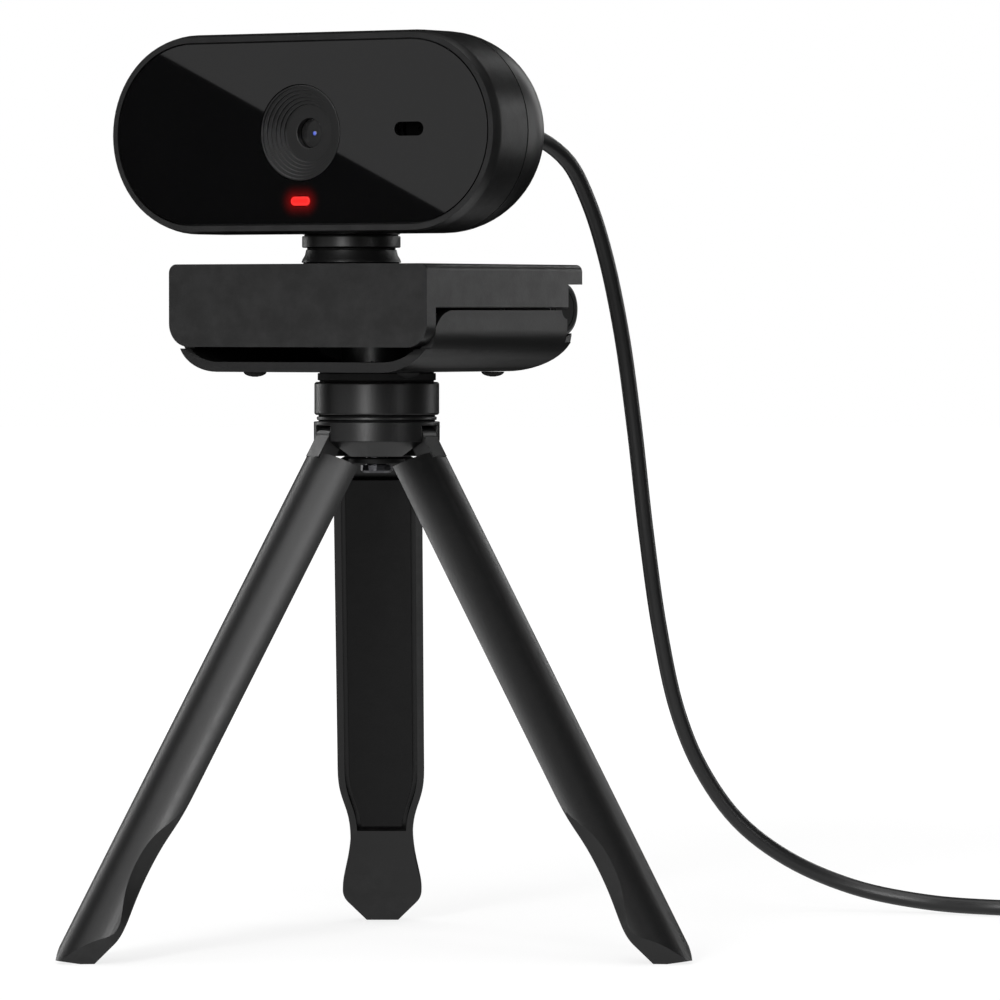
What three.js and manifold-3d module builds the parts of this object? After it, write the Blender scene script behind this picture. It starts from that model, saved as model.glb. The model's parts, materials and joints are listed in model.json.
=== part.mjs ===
// A pill-shaped USB webcam with a folding clip, screwed to a three-legged table tripod.
// Millimetres, +Z up. The feet stand on z = 0, and the origin is under the middle of the
// object's box, leaving out its cable.
//
// Frames used while building:
//   tripod frame  origin on the floor, under the tripod's axis
//   webcam frame  the tripod frame turned by WEBCAM_YAW: -Y is the way the lens looks
//   leg frame     origin on the leg's pin: X outwards, Y along the pin, -Z down the leg

import * as THREE from 'three';
import { mergeVertices } from 'three/addons/utils/BufferGeometryUtils.js';
import Module from 'manifold-3d';

const wasm = await Module();
wasm.setup();

// ---- Driving dimensions ------------------------------------------------------------------

// Clearances
const SEAT_GAP = 0.3; // a piece and the one that it sits on or in
const GLUE_GAP = 0.05; // a rubber foot and the face that it is glued to
const RUN_GAP = 0.3; // pieces that turn on or against each other
const OVERRUN = 1; // how far a cutting tool runs past what it cuts

// Legs
const LEG_SPLAY_ANGLE = THREE.MathUtils.degToRad(30);
const LEG_HALF_WIDTH = 8.15;
const LEG_ARC_RADIUS = 8.9; // of the rounded outer face
const LEG_INNER_FACE = -3.85; // outwards from the pin
const LEG_SHOULDER = 4; // down the leg from the pin, as all lengths along it
const LEG_CONTACT = 105.9; // where the inner face meets the floor
const TIP_BEYOND_CONTACT = 2.3;
const SPOON_ABOVE_CONTACT = 7.3;
const WAIST_ABOVE_CONTACT = 19.4;
const TAPER_ABOVE_CONTACT = 34.9;
const LEG_WAIST_HALF_WIDTH = 5.9;
const LEG_SPOON_HALF_WIDTH = 7.5;
const SPOON_ROUND = 1.6; // down the leg, below the spoon's widest place
const SPOON_CORNER = [1, 2.8]; // inwards and down the leg, where the foot's end starts
const TIP_POINT = 0.8;
const FOOT_FLAT = 0.35; // height worn off the foot's lower edge to make a flat
const FOOT_RISE_ANGLE = THREE.MathUtils.degToRad(9.5); // slope of the foot's end, over the floor
const LEG_LIP = 1.3; // rim left round the inlay's recess
const LEG_RECESS_DEPTH = 1.25;
const INLAY_THICKNESS = 0.75;
const INLAY_GROOVE = 0.85; // open groove round the inlay
const INLAY_TOP = 7.5;
const INLAY_ABOVE_WAIST = 2.3;
const KNUCKLE_RADIUS = 1.65;
const KNUCKLE_WIDTH = 4.7;
const PIN_RADIUS = 0.6;
const PIN_LENGTH = 7.8;
const PIN_CIRCLE = 9.6; // from the tripod's axis to the leg pins
const LEG_AZIMUTHS = { left: 210, right: 330, rear: 90 };

// Tripod head
const HUB_RADIUS = 11.45;
const HUB_BELOW_PINS = 3.7;
const HUB_RIM_BELOW_PINS = 0.9; // lower edge of the hub's straight side
const HUB_ABOVE_PINS = 2.6;
const HUB_CONE_RADIUS = 7.4;
const HUB_BORE_RADIUS = 2.3;
const SLOT_ROOF = 0.65;
const SLOT_DEPTH = 4.2; // inwards from the pin circle to the slot's back wall
const HUB_CAP_RADIUS = 5.2;
const HUB_CAP_THICKNESS = 1;
const PAN_BOLT_RADIUS = 2;
const PAN_BOLT_HEAD_RADIUS = 2.9;
const PAN_BOLT_HEAD_HEIGHT = 1.4;
const PAN_BOLT_CHAMFER = 0.4;
const PAN_BOLT_GRIP = 1.5; // into the flange of the camera screw
const PAN_WASHER_RADIUS = 10.9;
const PAN_WASHER_THICKNESS = 0.6;
const COLLAR_RADIUS = 11.35;
const COLLAR_HEIGHT = 6;
const COLLAR_CHAMFER = 0.5;
const COLLAR_WEB = 3.2; // floor of the collar, under the screw's flange
const SCREW_FLANGE_RADIUS = 7.5;
const SCREW_RADIUS = 3.1; // quarter-inch camera screw
const SCREW_REACH = 5.4; // into the thread insert
const SCREW_CHAMFER = 0.5;
const PAD_RADIUS = 10.75;
const PAD_THICKNESS = 1.3;
const PAD_CHAMFER = 0.3;

// Clip
const CLIP_WIDTH = 56;
const CLIP_FRONT = 25.7; // in front of the tripod's axis
const CLIP_WALL = 1.8;
const FLAP_HEIGHT = 14.9;
const FLAP_THICKNESS = 2.9;
const FLAP_TOP_RADIUS = 1.6;
const FLAP_BOTTOM_RADIUS = 4.2;
const ARM_DEPTH = 7.9;
const ARM_EDGE_RADIUS = 1.3;
const ARM_OVERHANG = 3.2; // behind the hinge's axis
const ARM_OVERHANG_DEPTH = 3.6;
const ARM_NECK_BOSS_RADIUS = 6;
const ARM_NECK_BOSS_DEPTH = 2.4; // under the arm's roof
const CLIP_SPLIT = 0.4; // between the arm's skirt and the jaw's rim
const HINGE_BEHIND_AXIS = 20.9;
const HINGE_RADIUS = 4.7;
const HINGE_PIN_RADIUS = 1.5;
const JAW_KNUCKLE_INSET = 11; // from the arm's side
const ARM_KNUCKLE_INSET = 1;
const HINGE_WEB_INSET = 0.1; // of a knuckle's web, inside the front of its barrel
const HINGE_CAP_RADIUS = 4.2;
const HINGE_CAP_THICKNESS = 1;
const JAW_HEIGHT = 11.1;
const JAW_SET_BACK = 0.6; // of its front edge behind the flap's face
const JAW_LEAN = 8.4; // how far its side rims start behind its front edge
const JAW_CORNER_WIDTH = 10;
const JAW_CORNER_HEIGHT = 7.6;
const JAW_BACK_RADIUS = 6.5;
const JAW_BEHIND_HINGE = 2.4;
const JAW_FRONT_BEND = [0.42, 0.65]; // shares of the lean and the height, for its front curve
const JAW_BACK_BEND = [1.6, 1.2];
const JAW_SIDE_IN = 0.25;
const INSERT_RADIUS = 4.6;
const INSERT_LENGTH = 6;
const INSERT_BOSS_WALL = 1.7;
const DESK_FOOT_RADIUS = 2.1;
const DESK_FOOT_HEIGHT = 0.9;
const DESK_FOOT_X = 16.7;
const DESK_FOOT_Y = { front: -14.7, rear: 13 };
const FLAP_PAD_SIZE = [44, 0.8, 7.6];

// Neck
const NECK_IN_FRONT = 8.2; // of the tripod's axis
const NECK_BASE_HEIGHT = 2.4;
const NECK_BASE_RADIUS = 9.05;
const NECK_WAIST_RADIUS = 8.15;
const NECK_COLLAR_RADIUS = 8.9;
const NECK_COLLAR_HEIGHT = 2.1;
const SWIVEL_RADIUS = 3.2;
const SWIVEL_FLANGE_RADIUS = 5;
const SWIVEL_FLANGE_THICKNESS = 1.2;
const SWIVEL_SCREW_RADIUS = 1.2;
const SWIVEL_SCREW_HEAD = [2.2, 1.2]; // radius and height
const SWIVEL_WASHER_THICKNESS = 0.8;
const SWIVEL_WASHER_INSET = 0.6;
const NECK_ROUND = 0.25;

// Head
const WEBCAM_YAW = THREE.MathUtils.degToRad(-33);
const FACE_IN_FRONT = 24.6; // of the tripod's axis
const FACE_WIDTH = 82.5;
const FACE_HEIGHT = 35;
const FACE_SHOULDER = 0.5; // how much the housing swells behind the face's edge
const FACE_EDGE = 0.25;
const SHOULDER_DEPTHS = [1.3, 2.2];
const RIM_WIDTH = 1;
const HOUSING_WALL = 1.6;
const HOUSING_SEAM = 8.8; // behind the face
const HEAD_DEPTH = 27;
const DOME_INSET = 15; // how far the back draws in from the seam's outline
const WINDOW_THICKNESS = 1.1;
const WINDOW_RECESS = 0.1;
const WINDOW_BEVEL = 0.3;
const BULKHEAD = 1.8; // wall of the front housing behind the window
const HOOD_RADIUS = 8.55;
const HOOD_STEPS = 4;
const HOOD_STEP_WIDTH = 0.9;
const HOOD_STEP_DEPTH = 0.75;
const HOOD_EDGE = 0.35;
const HOOD_FLOOR = 1.2;
const APERTURE_RADIUS = 2.7;
const BARREL_RADIUS = 4.2;
const BARREL_BORE = 3.1;
const LENS_RADIUS = 2.8;
const LENS_DOME = 0.7;
const LENS_EDGE = 0.8;
const HOLDER_SIZE = 13;
const HOLDER_SET_BACK = 1.2; // behind the barrel's front
const HOLDER_LENGTH = 4.6;
const SENSOR_SIZE = 6;
const SENSOR_THICKNESS = 0.9;
const BOARD_WIDTH = 54;
const BOARD_HEIGHT = 27;
const BOARD_THICKNESS = 1.2;
const BOARD_CORNER = 3;
const BOARD_SCREW_INSET = 5; // from the board's end
const BOARD_SCREW_Z = -6;
const BOARD_SCREW_RADIUS = 1;
const BOARD_SCREW_HEAD = 1.9;
const BOARD_POST_RADIUS = 2.4;
const MIC_X = 23.4;
const MIC_Z = 0.4;
const MIC_SLOT = [6.2, 2.5];
const MIC_RADIUS = 3;
const MIC_THICKNESS = 1.6;
const LED_Z = -12.2;
const LED_SLOT = [4.2, 1.7];
const LED_CHIP = [3.2, 0.9, 1.6];
const HOUSING_SCREW_INSET = 7.75; // from the face's end
const HOUSING_SCREW_RADIUS = 1.1;
const HOUSING_SCREW_HEAD = 2;
const HOUSING_SCREW_HEAD_HEIGHT = 0.9;
const HOUSING_SCREW_LENGTH = 11;
const HOUSING_POST_RADIUS = 2.7;
const NECK_BOSS_HEIGHT = 9; // inside the rear shell, from the housing's lowest line
const NECK_BOSS_INSET = 0.1;

// Cable
const CABLE_DIAMETER = 3;
const GLAND_RADIUS = 2.9;
const GLAND_TIP_RADIUS = 2.1;
const GLAND_LENGTH = 9;
const GLAND_FLANGE_RADIUS = 4;
const GLAND_FLANGE_THICKNESS = 1.2;
const CABLE_SIDES = 8;
const UPPER_CABLE_STEPS = 14;
const LOWER_CABLE_STEPS = 34;
const TAIL_STEPS = 7;
const COIL_CENTRE = [145.6, 81.4];
const COIL_MEAN_DIAMETER = 33;
const COIL_COLUMNS = 3;
const COIL_LAYERS = 4;
const TIE_THICKNESS = 0.8;
const TIE_WIDTH = 8;
const TIE_ANGLE = THREE.MathUtils.degToRad(40);
const COIL_EDGE = 1;
const PLUG_BODY_SIZE = [24, 15.6, 8];
const PLUG_BODY_RADIUS = 2.6;
const PLUG_BOOT_LENGTH = 9;
const PLUG_BOOT_RADIUS = 2.3;
const PLUG_BOOT_FLARE = 1.35;
const PLUG_BOOT_SUNK = 0.5; // into the body
const PLUG_SHELL_SIZE = [18.75, 12, 4.5];
const PLUG_SHELL_WALL = 0.4;
const PLUG_TONGUE_THICKNESS = 1.9;

// The cable's route in the tripod frame, from the strain relief's tip. The points are chosen
// by hand: straight out of the head, a slack fall, and a bow along the floor to the coil.
const UPPER_ROUTE = [
  [12.6, 19.6, 148.1],
  [19, 29, 148.6],
  [25, 38, 148.9],
  [30.1, 45, 148.2],
  [35.4, 50, 144],
  [39.2, 54, 136.6],
  [42.4, 57.5, 126.6],
];
const LOWER_ROUTE = [
  [42.4, 57.5, 126.6],
  [45.5, 61.2, 112],
  [48, 64.6, 94.4],
  [50.4, 68, 73.6],
  [53.1, 71, 54.8],
  [56.6, 73.6, 39],
  [61.2, 75.6, 27.8],
  [68.4, 77.4, 17.6],
  [78, 78.4, 10.2],
  [90.6, 77.6, 4.8],
  [104.2, 74, 2.2],
  [118.2, 67.6, 1.6],
];

// ---- Sizes that follow from them ---------------------------------------------------------

// Heights, from the floor up
const PIN_HEIGHT = LEG_CONTACT * Math.cos(LEG_SPLAY_ANGLE) - LEG_INNER_FACE * Math.sin(LEG_SPLAY_ANGLE)
  - FOOT_FLAT;
const HUB_TOP = PIN_HEIGHT + HUB_ABOVE_PINS;
const HUB_BOTTOM = PIN_HEIGHT - HUB_BELOW_PINS;
const WASHER_BOTTOM = HUB_TOP + RUN_GAP;
const COLLAR_BOTTOM = WASHER_BOTTOM + PAN_WASHER_THICKNESS + RUN_GAP;
const COLLAR_TOP = COLLAR_BOTTOM + COLLAR_HEIGHT;
const PAD_BOTTOM = COLLAR_TOP + SEAT_GAP;
const JAW_BOTTOM = PAD_BOTTOM + PAD_THICKNESS + SEAT_GAP;
const JAW_TOP = JAW_BOTTOM + JAW_HEIGHT;
const ARM_BOTTOM = JAW_TOP + CLIP_SPLIT;
const ARM_TOP = ARM_BOTTOM + ARM_DEPTH;
const HINGE_HEIGHT = JAW_TOP + CLIP_SPLIT / 2;
const NECK_BASE_BOTTOM = ARM_TOP + SEAT_GAP;
const NECK_COLLAR_BOTTOM = NECK_BASE_BOTTOM + NECK_BASE_HEIGHT + RUN_GAP;
const NECK_COLLAR_TOP = NECK_COLLAR_BOTTOM + NECK_COLLAR_HEIGHT;
const FACE_RADIUS = FACE_HEIGHT / 2;
const HOUSING_RADIUS = FACE_RADIUS + FACE_SHOULDER;
const HOUSING_SCREW_X = FACE_WIDTH / 2 - HOUSING_SCREW_INSET;
const BOARD_SCREW_X = BOARD_WIDTH / 2 - BOARD_SCREW_INSET;
const HEAD_HEIGHT = NECK_COLLAR_TOP + SEAT_GAP + HOUSING_RADIUS;

// Lengths down the leg from its pin
const LEG_TIP = LEG_CONTACT + TIP_BEYOND_CONTACT;
const LEG_SPOON = LEG_CONTACT - SPOON_ABOVE_CONTACT;
const LEG_WAIST = LEG_CONTACT - WAIST_ABOVE_CONTACT;
const LEG_TAPER_START = LEG_CONTACT - TAPER_ABOVE_CONTACT;
const INLAY_END = LEG_WAIST - INLAY_ABOVE_WAIST;

// Depths behind the face, inside the head
const WINDOW_BACK = WINDOW_RECESS + WINDOW_THICKNESS;
const BULKHEAD_FRONT = WINDOW_BACK + SEAT_GAP;
const BULKHEAD_BACK = BULKHEAD_FRONT + BULKHEAD;
const SCREW_HEAD_BACK = BULKHEAD_FRONT + HOUSING_SCREW_HEAD_HEIGHT;
const HOOD_FLOOR_FRONT = WINDOW_RECESS + HOOD_STEPS * HOOD_STEP_DEPTH;
const HOOD_BACK = HOOD_FLOOR_FRONT + HOOD_FLOOR;
const BARREL_FRONT = HOOD_BACK + SEAT_GAP;
const HOLDER_FRONT = BARREL_FRONT + HOLDER_SET_BACK;
const BOARD_FRONT = HOLDER_FRONT + HOLDER_LENGTH + SEAT_GAP;
const BOARD_BACK = BOARD_FRONT + BOARD_THICKNESS;
const SENSOR_FRONT = BOARD_FRONT - SEAT_GAP - SENSOR_THICKNESS;
const BARREL_BACK = SENSOR_FRONT - SEAT_GAP;

// Clip, in the webcam frame
const HINGE_Y = HINGE_BEHIND_AXIS;
const HINGE_WEB_FRONT = HINGE_Y - HINGE_RADIUS + HINGE_WEB_INSET;
const FLAP_BACK = -CLIP_FRONT + FLAP_THICKNESS;
const ARM_HALF = CLIP_WIDTH / 2;
const JAW_HALF = ARM_HALF - JAW_SIDE_IN;
const JAW_REAR = HINGE_Y + JAW_BEHIND_HINGE;
const JAW_KNUCKLE_HALF = ARM_HALF - JAW_KNUCKLE_INSET;
const ARM_KNUCKLE_END = ARM_HALF - ARM_KNUCKLE_INSET;
const JAW_FRONT = -CLIP_FRONT + JAW_SET_BACK;

// ---- Finishes ----------------------------------------------------------------------------

const FINISHES = {
  satinPlastic: { color: 0x1d1d1f, roughness: 0.5, metalness: 0 },
  mattePlastic: { color: 0x161617, roughness: 0.75, metalness: 0 },
  glossPlastic: { color: 0x09090a, roughness: 0.08, metalness: 0 },
  rubber: { color: 0x131313, roughness: 0.9, metalness: 0 },
  steel: { color: 0x8d9094, roughness: 0.35, metalness: 1 },
  darkSteel: { color: 0x2b2c2e, roughness: 0.4, metalness: 1 },
  brass: { color: 0xb08d4a, roughness: 0.35, metalness: 1 },
  glass: { color: 0x10141c, roughness: 0.03, metalness: 0 },
  redLight: { color: 0xe01818, roughness: 0.3, metalness: 0 },
  board: { color: 0x0d2f22, roughness: 0.6, metalness: 0 },
};

// ---- Solids ------------------------------------------------------------------------------

// A closed three.js geometry as a solid, with its faces turned outwards
function solid(geometry) {
  const bare = geometry.clone();
  bare.deleteAttribute('normal');
  bare.deleteAttribute('uv');
  const merged = mergeVertices(bare, 1e-4);
  const points = merged.attributes.position.array;
  const corners = merged.index.array;
  const kept = [];
  let volume = 0;
  for (let i = 0; i < corners.length; i += 3) {
    const [a, b, c] = corners.slice(i, i + 3);
    if (a === b || b === c || c === a) continue;
    kept.push(a, b, c);
    const [p, q, r] = [a, b, c].map((k) => new THREE.Vector3().fromArray(points, 3 * k));
    volume += p.dot(q.cross(r));
  }
  if (volume < 0) kept.reverse();
  return new wasm.Manifold(new wasm.Mesh({
    numProp: 3,
    vertProperties: new Float32Array(points),
    triVerts: new Uint32Array(kept),
  }));
}

const join = (first, ...others) => others.reduce((whole, other) => whole.add(other), first);
const cut = (whole, ...tools) => tools.reduce((left, tool) => left.subtract(tool), whole);

// A solid as a named mesh with a material of its own
function piece(parent, name, finish, body) {
  const { vertProperties, triVerts } = body.getMesh();
  const geometry = new THREE.BufferGeometry();
  geometry.setAttribute('position', new THREE.BufferAttribute(vertProperties, 3));
  geometry.setIndex(new THREE.BufferAttribute(triVerts, 1));
  const material = new THREE.MeshStandardMaterial({ ...FINISHES[finish], flatShading: true });
  const mesh = new THREE.Mesh(geometry, material);
  mesh.name = name;
  parent.add(mesh);
  return mesh;
}

// Sides of a round, a multiple of four so that rounds and flats meet at the same points
function sidesFor(radius) {
  if (radius < 1.3) return 8;
  if (radius < 3) return 12;
  if (radius < 6) return 20;
  return radius < 10 ? 28 : 36;
}

// A profile of [radius, height] points turned about its height axis
function turned(profile) {
  const sides = sidesFor(Math.max(...profile.map(([radius]) => radius)));
  return new THREE.LatheGeometry(profile.map(([r, h]) => new THREE.Vector2(r, h)), sides);
}

const turnedUp = (profile, [x, y] = [0, 0]) => (
  solid(turned(profile).rotateX(Math.PI / 2).translate(x, y, 0)));
const turnedBack = (profile, [x, z] = [0, 0]) => solid(turned(profile).translate(x, 0, z));
const turnedAcross = (profile, [y, z] = [0, 0]) => (
  solid(turned(profile).rotateZ(-Math.PI / 2).translate(0, y, z)));

// The profile of a plain cylinder, or of a ring where there is an inner radius
function round(radius, low, high, inner = 0) {
  if (inner === 0) return [[0, low], [radius, low], [radius, high], [0, high]];
  return [[inner, low], [radius, low], [radius, high], [inner, high], [inner, low]];
}

// A flat outline pushed out along one axis, from one coordinate to another
function extruded(shape, from, to) {
  const curveSegments = 8;
  const options = { depth: to - from, bevelEnabled: false, curveSegments };
  return new THREE.ExtrudeGeometry(shape, options).translate(0, 0, from);
}

const [AXIS_X, AXIS_Y, AXIS_Z] = [[1, 0, 0], [0, 1, 0], [0, 0, 1]].map(
  (axis) => new THREE.Vector3(...axis));
const YZ_ALONG_X = new THREE.Matrix4().makeBasis(AXIS_Y, AXIS_Z, AXIS_X);
const XZ_ALONG_Y = new THREE.Matrix4().makeBasis(AXIS_X, AXIS_Z, AXIS_Y);
const alongX = (shape, from, to) => solid(extruded(shape, from, to).applyMatrix4(YZ_ALONG_X));
const alongY = (shape, from, to) => solid(extruded(shape, from, to).applyMatrix4(XZ_ALONG_Y));
const alongZ = (shape, from, to) => solid(extruded(shape, from, to));

function block([x0, y0, z0], [x1, y1, z1]) {
  const box = new THREE.BoxGeometry(x1 - x0, y1 - y0, z1 - z0);
  return solid(box.translate((x0 + x1) / 2, (y0 + y1) / 2, (z0 + z1) / 2));
}

// A rectangle about a centre, with its own radius at the top and at the bottom corners
function roundedRectangle(width, height, topRadius, bottomRadius, [x, y] = [0, 0]) {
  const [left, right, low, high] = [x - width / 2, x + width / 2, y - height / 2, y + height / 2];
  const shape = new THREE.Shape();
  shape.moveTo(left + bottomRadius, low);
  shape.lineTo(right - bottomRadius, low);
  shape.absarc(right - bottomRadius, low + bottomRadius, bottomRadius, -Math.PI / 2, 0);
  shape.lineTo(right, high - topRadius);
  shape.absarc(right - topRadius, high - topRadius, topRadius, 0, Math.PI / 2);
  shape.lineTo(left + topRadius, high);
  shape.absarc(left + topRadius, high - topRadius, topRadius, Math.PI / 2, Math.PI);
  shape.lineTo(left, low + bottomRadius);
  shape.absarc(left + bottomRadius, low + bottomRadius, bottomRadius, Math.PI, 1.5 * Math.PI);
  return shape;
}

const slot = ([width, height], at) => (
  roundedRectangle(width, height, height / 2 - 0.01, height / 2 - 0.01, at));

function polygon(points) {
  return new THREE.Shape(points.map(([x, y]) => new THREE.Vector2(x, y)));
}

// A pill: a profile of [radius, depth] points, turned round both ends of the face's straight
// part and carried straight between them
function pill(profile) {
  const half = (FACE_WIDTH - FACE_HEIGHT) / 2;
  const rim = profile.filter(([radius]) => radius > 0);
  const low = [...rim].reverse().map(([radius, depth]) => [depth, -radius]);
  const middle = polygon([...rim.map(([radius, depth]) => [depth, radius]), ...low]);
  return join(
    turnedBack(profile, [-half, 0]),
    alongX(middle, -half, half),
    turnedBack(profile, [half, 0]),
  );
}

const plainPill = (radius, front, back) => pill(round(radius, front, back));

// ---- Tripod: hub, washer, collar, screw --------------------------------------------------

const model = new THREE.Group();
const tripod = new THREE.Group();
const webcam = new THREE.Group();
const head = new THREE.Group();
webcam.rotation.z = WEBCAM_YAW;
head.position.set(0, -FACE_IN_FRONT, HEAD_HEIGHT);
webcam.add(head);
tripod.add(webcam);
model.add(tripod);

function turnAbout(body, degrees) {
  const { vertProperties, triVerts } = body.getMesh();
  const geometry = new THREE.BufferGeometry();
  geometry.setAttribute('position', new THREE.BufferAttribute(vertProperties, 3));
  geometry.setIndex(new THREE.BufferAttribute(triVerts, 1));
  return solid(geometry.rotateZ(THREE.MathUtils.degToRad(degrees)));
}

function makeHub() {
  const body = turnedUp([
    [HUB_BORE_RADIUS, HUB_BOTTOM], [HUB_CONE_RADIUS, HUB_BOTTOM],
    [HUB_RADIUS, PIN_HEIGHT - HUB_RIM_BELOW_PINS], [HUB_RADIUS, HUB_TOP - COLLAR_CHAMFER / 2],
    [HUB_RADIUS - COLLAR_CHAMFER / 2, HUB_TOP], [HUB_BORE_RADIUS, HUB_TOP],
    [HUB_BORE_RADIUS, HUB_BOTTOM],
  ]);
  const halfSlot = KNUCKLE_WIDTH / 2 + RUN_GAP;
  const slotTool = block(
    [PIN_CIRCLE - SLOT_DEPTH, -halfSlot, HUB_BOTTOM - OVERRUN],
    [HUB_RADIUS + OVERRUN, halfSlot, HUB_TOP - SLOT_ROOF],
  );
  const holeTool = solid(
    new THREE.CylinderGeometry(PIN_RADIUS + SEAT_GAP, PIN_RADIUS + SEAT_GAP, 2 * HUB_RADIUS, 12)
      .translate(PIN_CIRCLE, 0, PIN_HEIGHT));
  const tools = Object.values(LEG_AZIMUTHS).flatMap(
    (azimuth) => [turnAbout(slotTool, azimuth), turnAbout(holeTool, azimuth)]);
  piece(tripod, 'tripod_hub', 'satinPlastic', cut(body, ...tools));
}

function makeTripodHead() {
  const capTop = HUB_BOTTOM - SEAT_GAP;
  piece(tripod, 'hub_cap', 'mattePlastic', turnedUp(
    round(HUB_CAP_RADIUS, capTop - HUB_CAP_THICKNESS, capTop, HUB_BORE_RADIUS)));

  const boltHeadTop = capTop - HUB_CAP_THICKNESS - SEAT_GAP;
  const boltEnd = COLLAR_BOTTOM + COLLAR_WEB + SEAT_GAP + PAN_BOLT_GRIP;
  piece(tripod, 'pan_bolt', 'darkSteel', turnedUp([
    [0, boltHeadTop - PAN_BOLT_HEAD_HEIGHT],
    [PAN_BOLT_HEAD_RADIUS - PAN_BOLT_CHAMFER, boltHeadTop - PAN_BOLT_HEAD_HEIGHT],
    [PAN_BOLT_HEAD_RADIUS, boltHeadTop - PAN_BOLT_HEAD_HEIGHT + PAN_BOLT_CHAMFER],
    [PAN_BOLT_HEAD_RADIUS, boltHeadTop], [PAN_BOLT_RADIUS, boltHeadTop],
    [PAN_BOLT_RADIUS, boltEnd], [0, boltEnd],
  ]));

  piece(tripod, 'pan_washer', 'satinPlastic', turnedUp(round(
    PAN_WASHER_RADIUS, WASHER_BOTTOM, WASHER_BOTTOM + PAN_WASHER_THICKNESS, HUB_BORE_RADIUS)));

  const well = SCREW_FLANGE_RADIUS + SEAT_GAP;
  const wellFloor = COLLAR_BOTTOM + COLLAR_WEB;
  piece(tripod, 'platform_collar', 'satinPlastic', turnedUp([
    [HUB_BORE_RADIUS, COLLAR_BOTTOM], [COLLAR_RADIUS - COLLAR_CHAMFER, COLLAR_BOTTOM],
    [COLLAR_RADIUS, COLLAR_BOTTOM + COLLAR_CHAMFER], [COLLAR_RADIUS, COLLAR_TOP - COLLAR_CHAMFER],
    [COLLAR_RADIUS - COLLAR_CHAMFER, COLLAR_TOP], [well, COLLAR_TOP], [well, wellFloor],
    [HUB_BORE_RADIUS, wellFloor], [HUB_BORE_RADIUS, COLLAR_BOTTOM],
  ]));

  const flangeBottom = wellFloor + SEAT_GAP;
  const screwTop = JAW_BOTTOM + SCREW_REACH;
  piece(tripod, 'camera_screw', 'steel', turnedUp([
    [0, boltEnd + SEAT_GAP], [HUB_BORE_RADIUS, boltEnd + SEAT_GAP],
    [HUB_BORE_RADIUS, flangeBottom], [SCREW_FLANGE_RADIUS, flangeBottom],
    [SCREW_FLANGE_RADIUS, COLLAR_TOP], [SCREW_RADIUS, COLLAR_TOP],
    [SCREW_RADIUS, screwTop - SCREW_CHAMFER], [SCREW_RADIUS - SCREW_CHAMFER, screwTop],
    [0, screwTop],
  ]));

  const padTop = PAD_BOTTOM + PAD_THICKNESS;
  piece(tripod, 'platform_pad', 'rubber', turnedUp([
    [SCREW_RADIUS + SEAT_GAP, PAD_BOTTOM], [PAD_RADIUS, PAD_BOTTOM], [PAD_RADIUS, padTop - PAD_CHAMFER],
    [PAD_RADIUS - PAD_CHAMFER, padTop], [SCREW_RADIUS + SEAT_GAP, padTop],
    [SCREW_RADIUS + SEAT_GAP, PAD_BOTTOM],
  ]));
}

// ---- Tripod: legs ------------------------------------------------------------------------

// The leg's outline as seen square to its face: x along the pin, y down the leg as -y.
// inset draws the sides in, for the recess and the inlay.
function legOutline(top, inset) {
  const half = LEG_HALF_WIDTH - inset;
  const waist = LEG_WAIST_HALF_WIDTH - inset;
  const spoon = LEG_SPOON_HALF_WIDTH - inset;
  const curve = (LEG_WAIST - LEG_TAPER_START) / 2;
  const flare = (LEG_SPOON - LEG_WAIST) / 2;
  const cornerIn = SPOON_CORNER[0];
  const cornerDown = LEG_SPOON + SPOON_CORNER[1];
  const shape = new THREE.Shape();
  shape.moveTo(-half, -top);
  shape.lineTo(-half, -LEG_TAPER_START);
  shape.bezierCurveTo(-half, -LEG_TAPER_START - curve, -waist, -LEG_WAIST + curve,
    -waist, -LEG_WAIST);
  shape.bezierCurveTo(-waist, -LEG_WAIST - flare, -spoon, -LEG_SPOON + flare / 2,
    -spoon, -LEG_SPOON);
  shape.quadraticCurveTo(-spoon, -LEG_SPOON - SPOON_ROUND, -spoon + cornerIn, -cornerDown);
  shape.lineTo(0, -LEG_TIP - TIP_POINT);
  shape.lineTo(spoon - cornerIn, -cornerDown);
  shape.quadraticCurveTo(spoon, -LEG_SPOON - SPOON_ROUND, spoon, -LEG_SPOON);
  shape.bezierCurveTo(spoon, -LEG_SPOON + flare / 2, waist, -LEG_WAIST - flare,
    waist, -LEG_WAIST);
  shape.bezierCurveTo(waist, -LEG_WAIST + curve, half, -LEG_TAPER_START - curve,
    half, -LEG_TAPER_START);
  shape.lineTo(half, -top);
  return shape;
}

// The leg's section, square to its length: a flat inner face and a rounded outer one
function legSection() {
  const reach = Math.sqrt(LEG_ARC_RADIUS ** 2 - LEG_HALF_WIDTH ** 2);
  const centre = LEG_INNER_FACE - reach;
  const angle = Math.atan2(LEG_HALF_WIDTH, reach);
  const shape = new THREE.Shape();
  shape.absarc(centre, 0, LEG_ARC_RADIUS, -angle, angle);
  return shape;
}

const LEG_RIDGE = LEG_INNER_FACE + LEG_ARC_RADIUS
  - Math.sqrt(LEG_ARC_RADIUS ** 2 - LEG_HALF_WIDTH ** 2);

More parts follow.
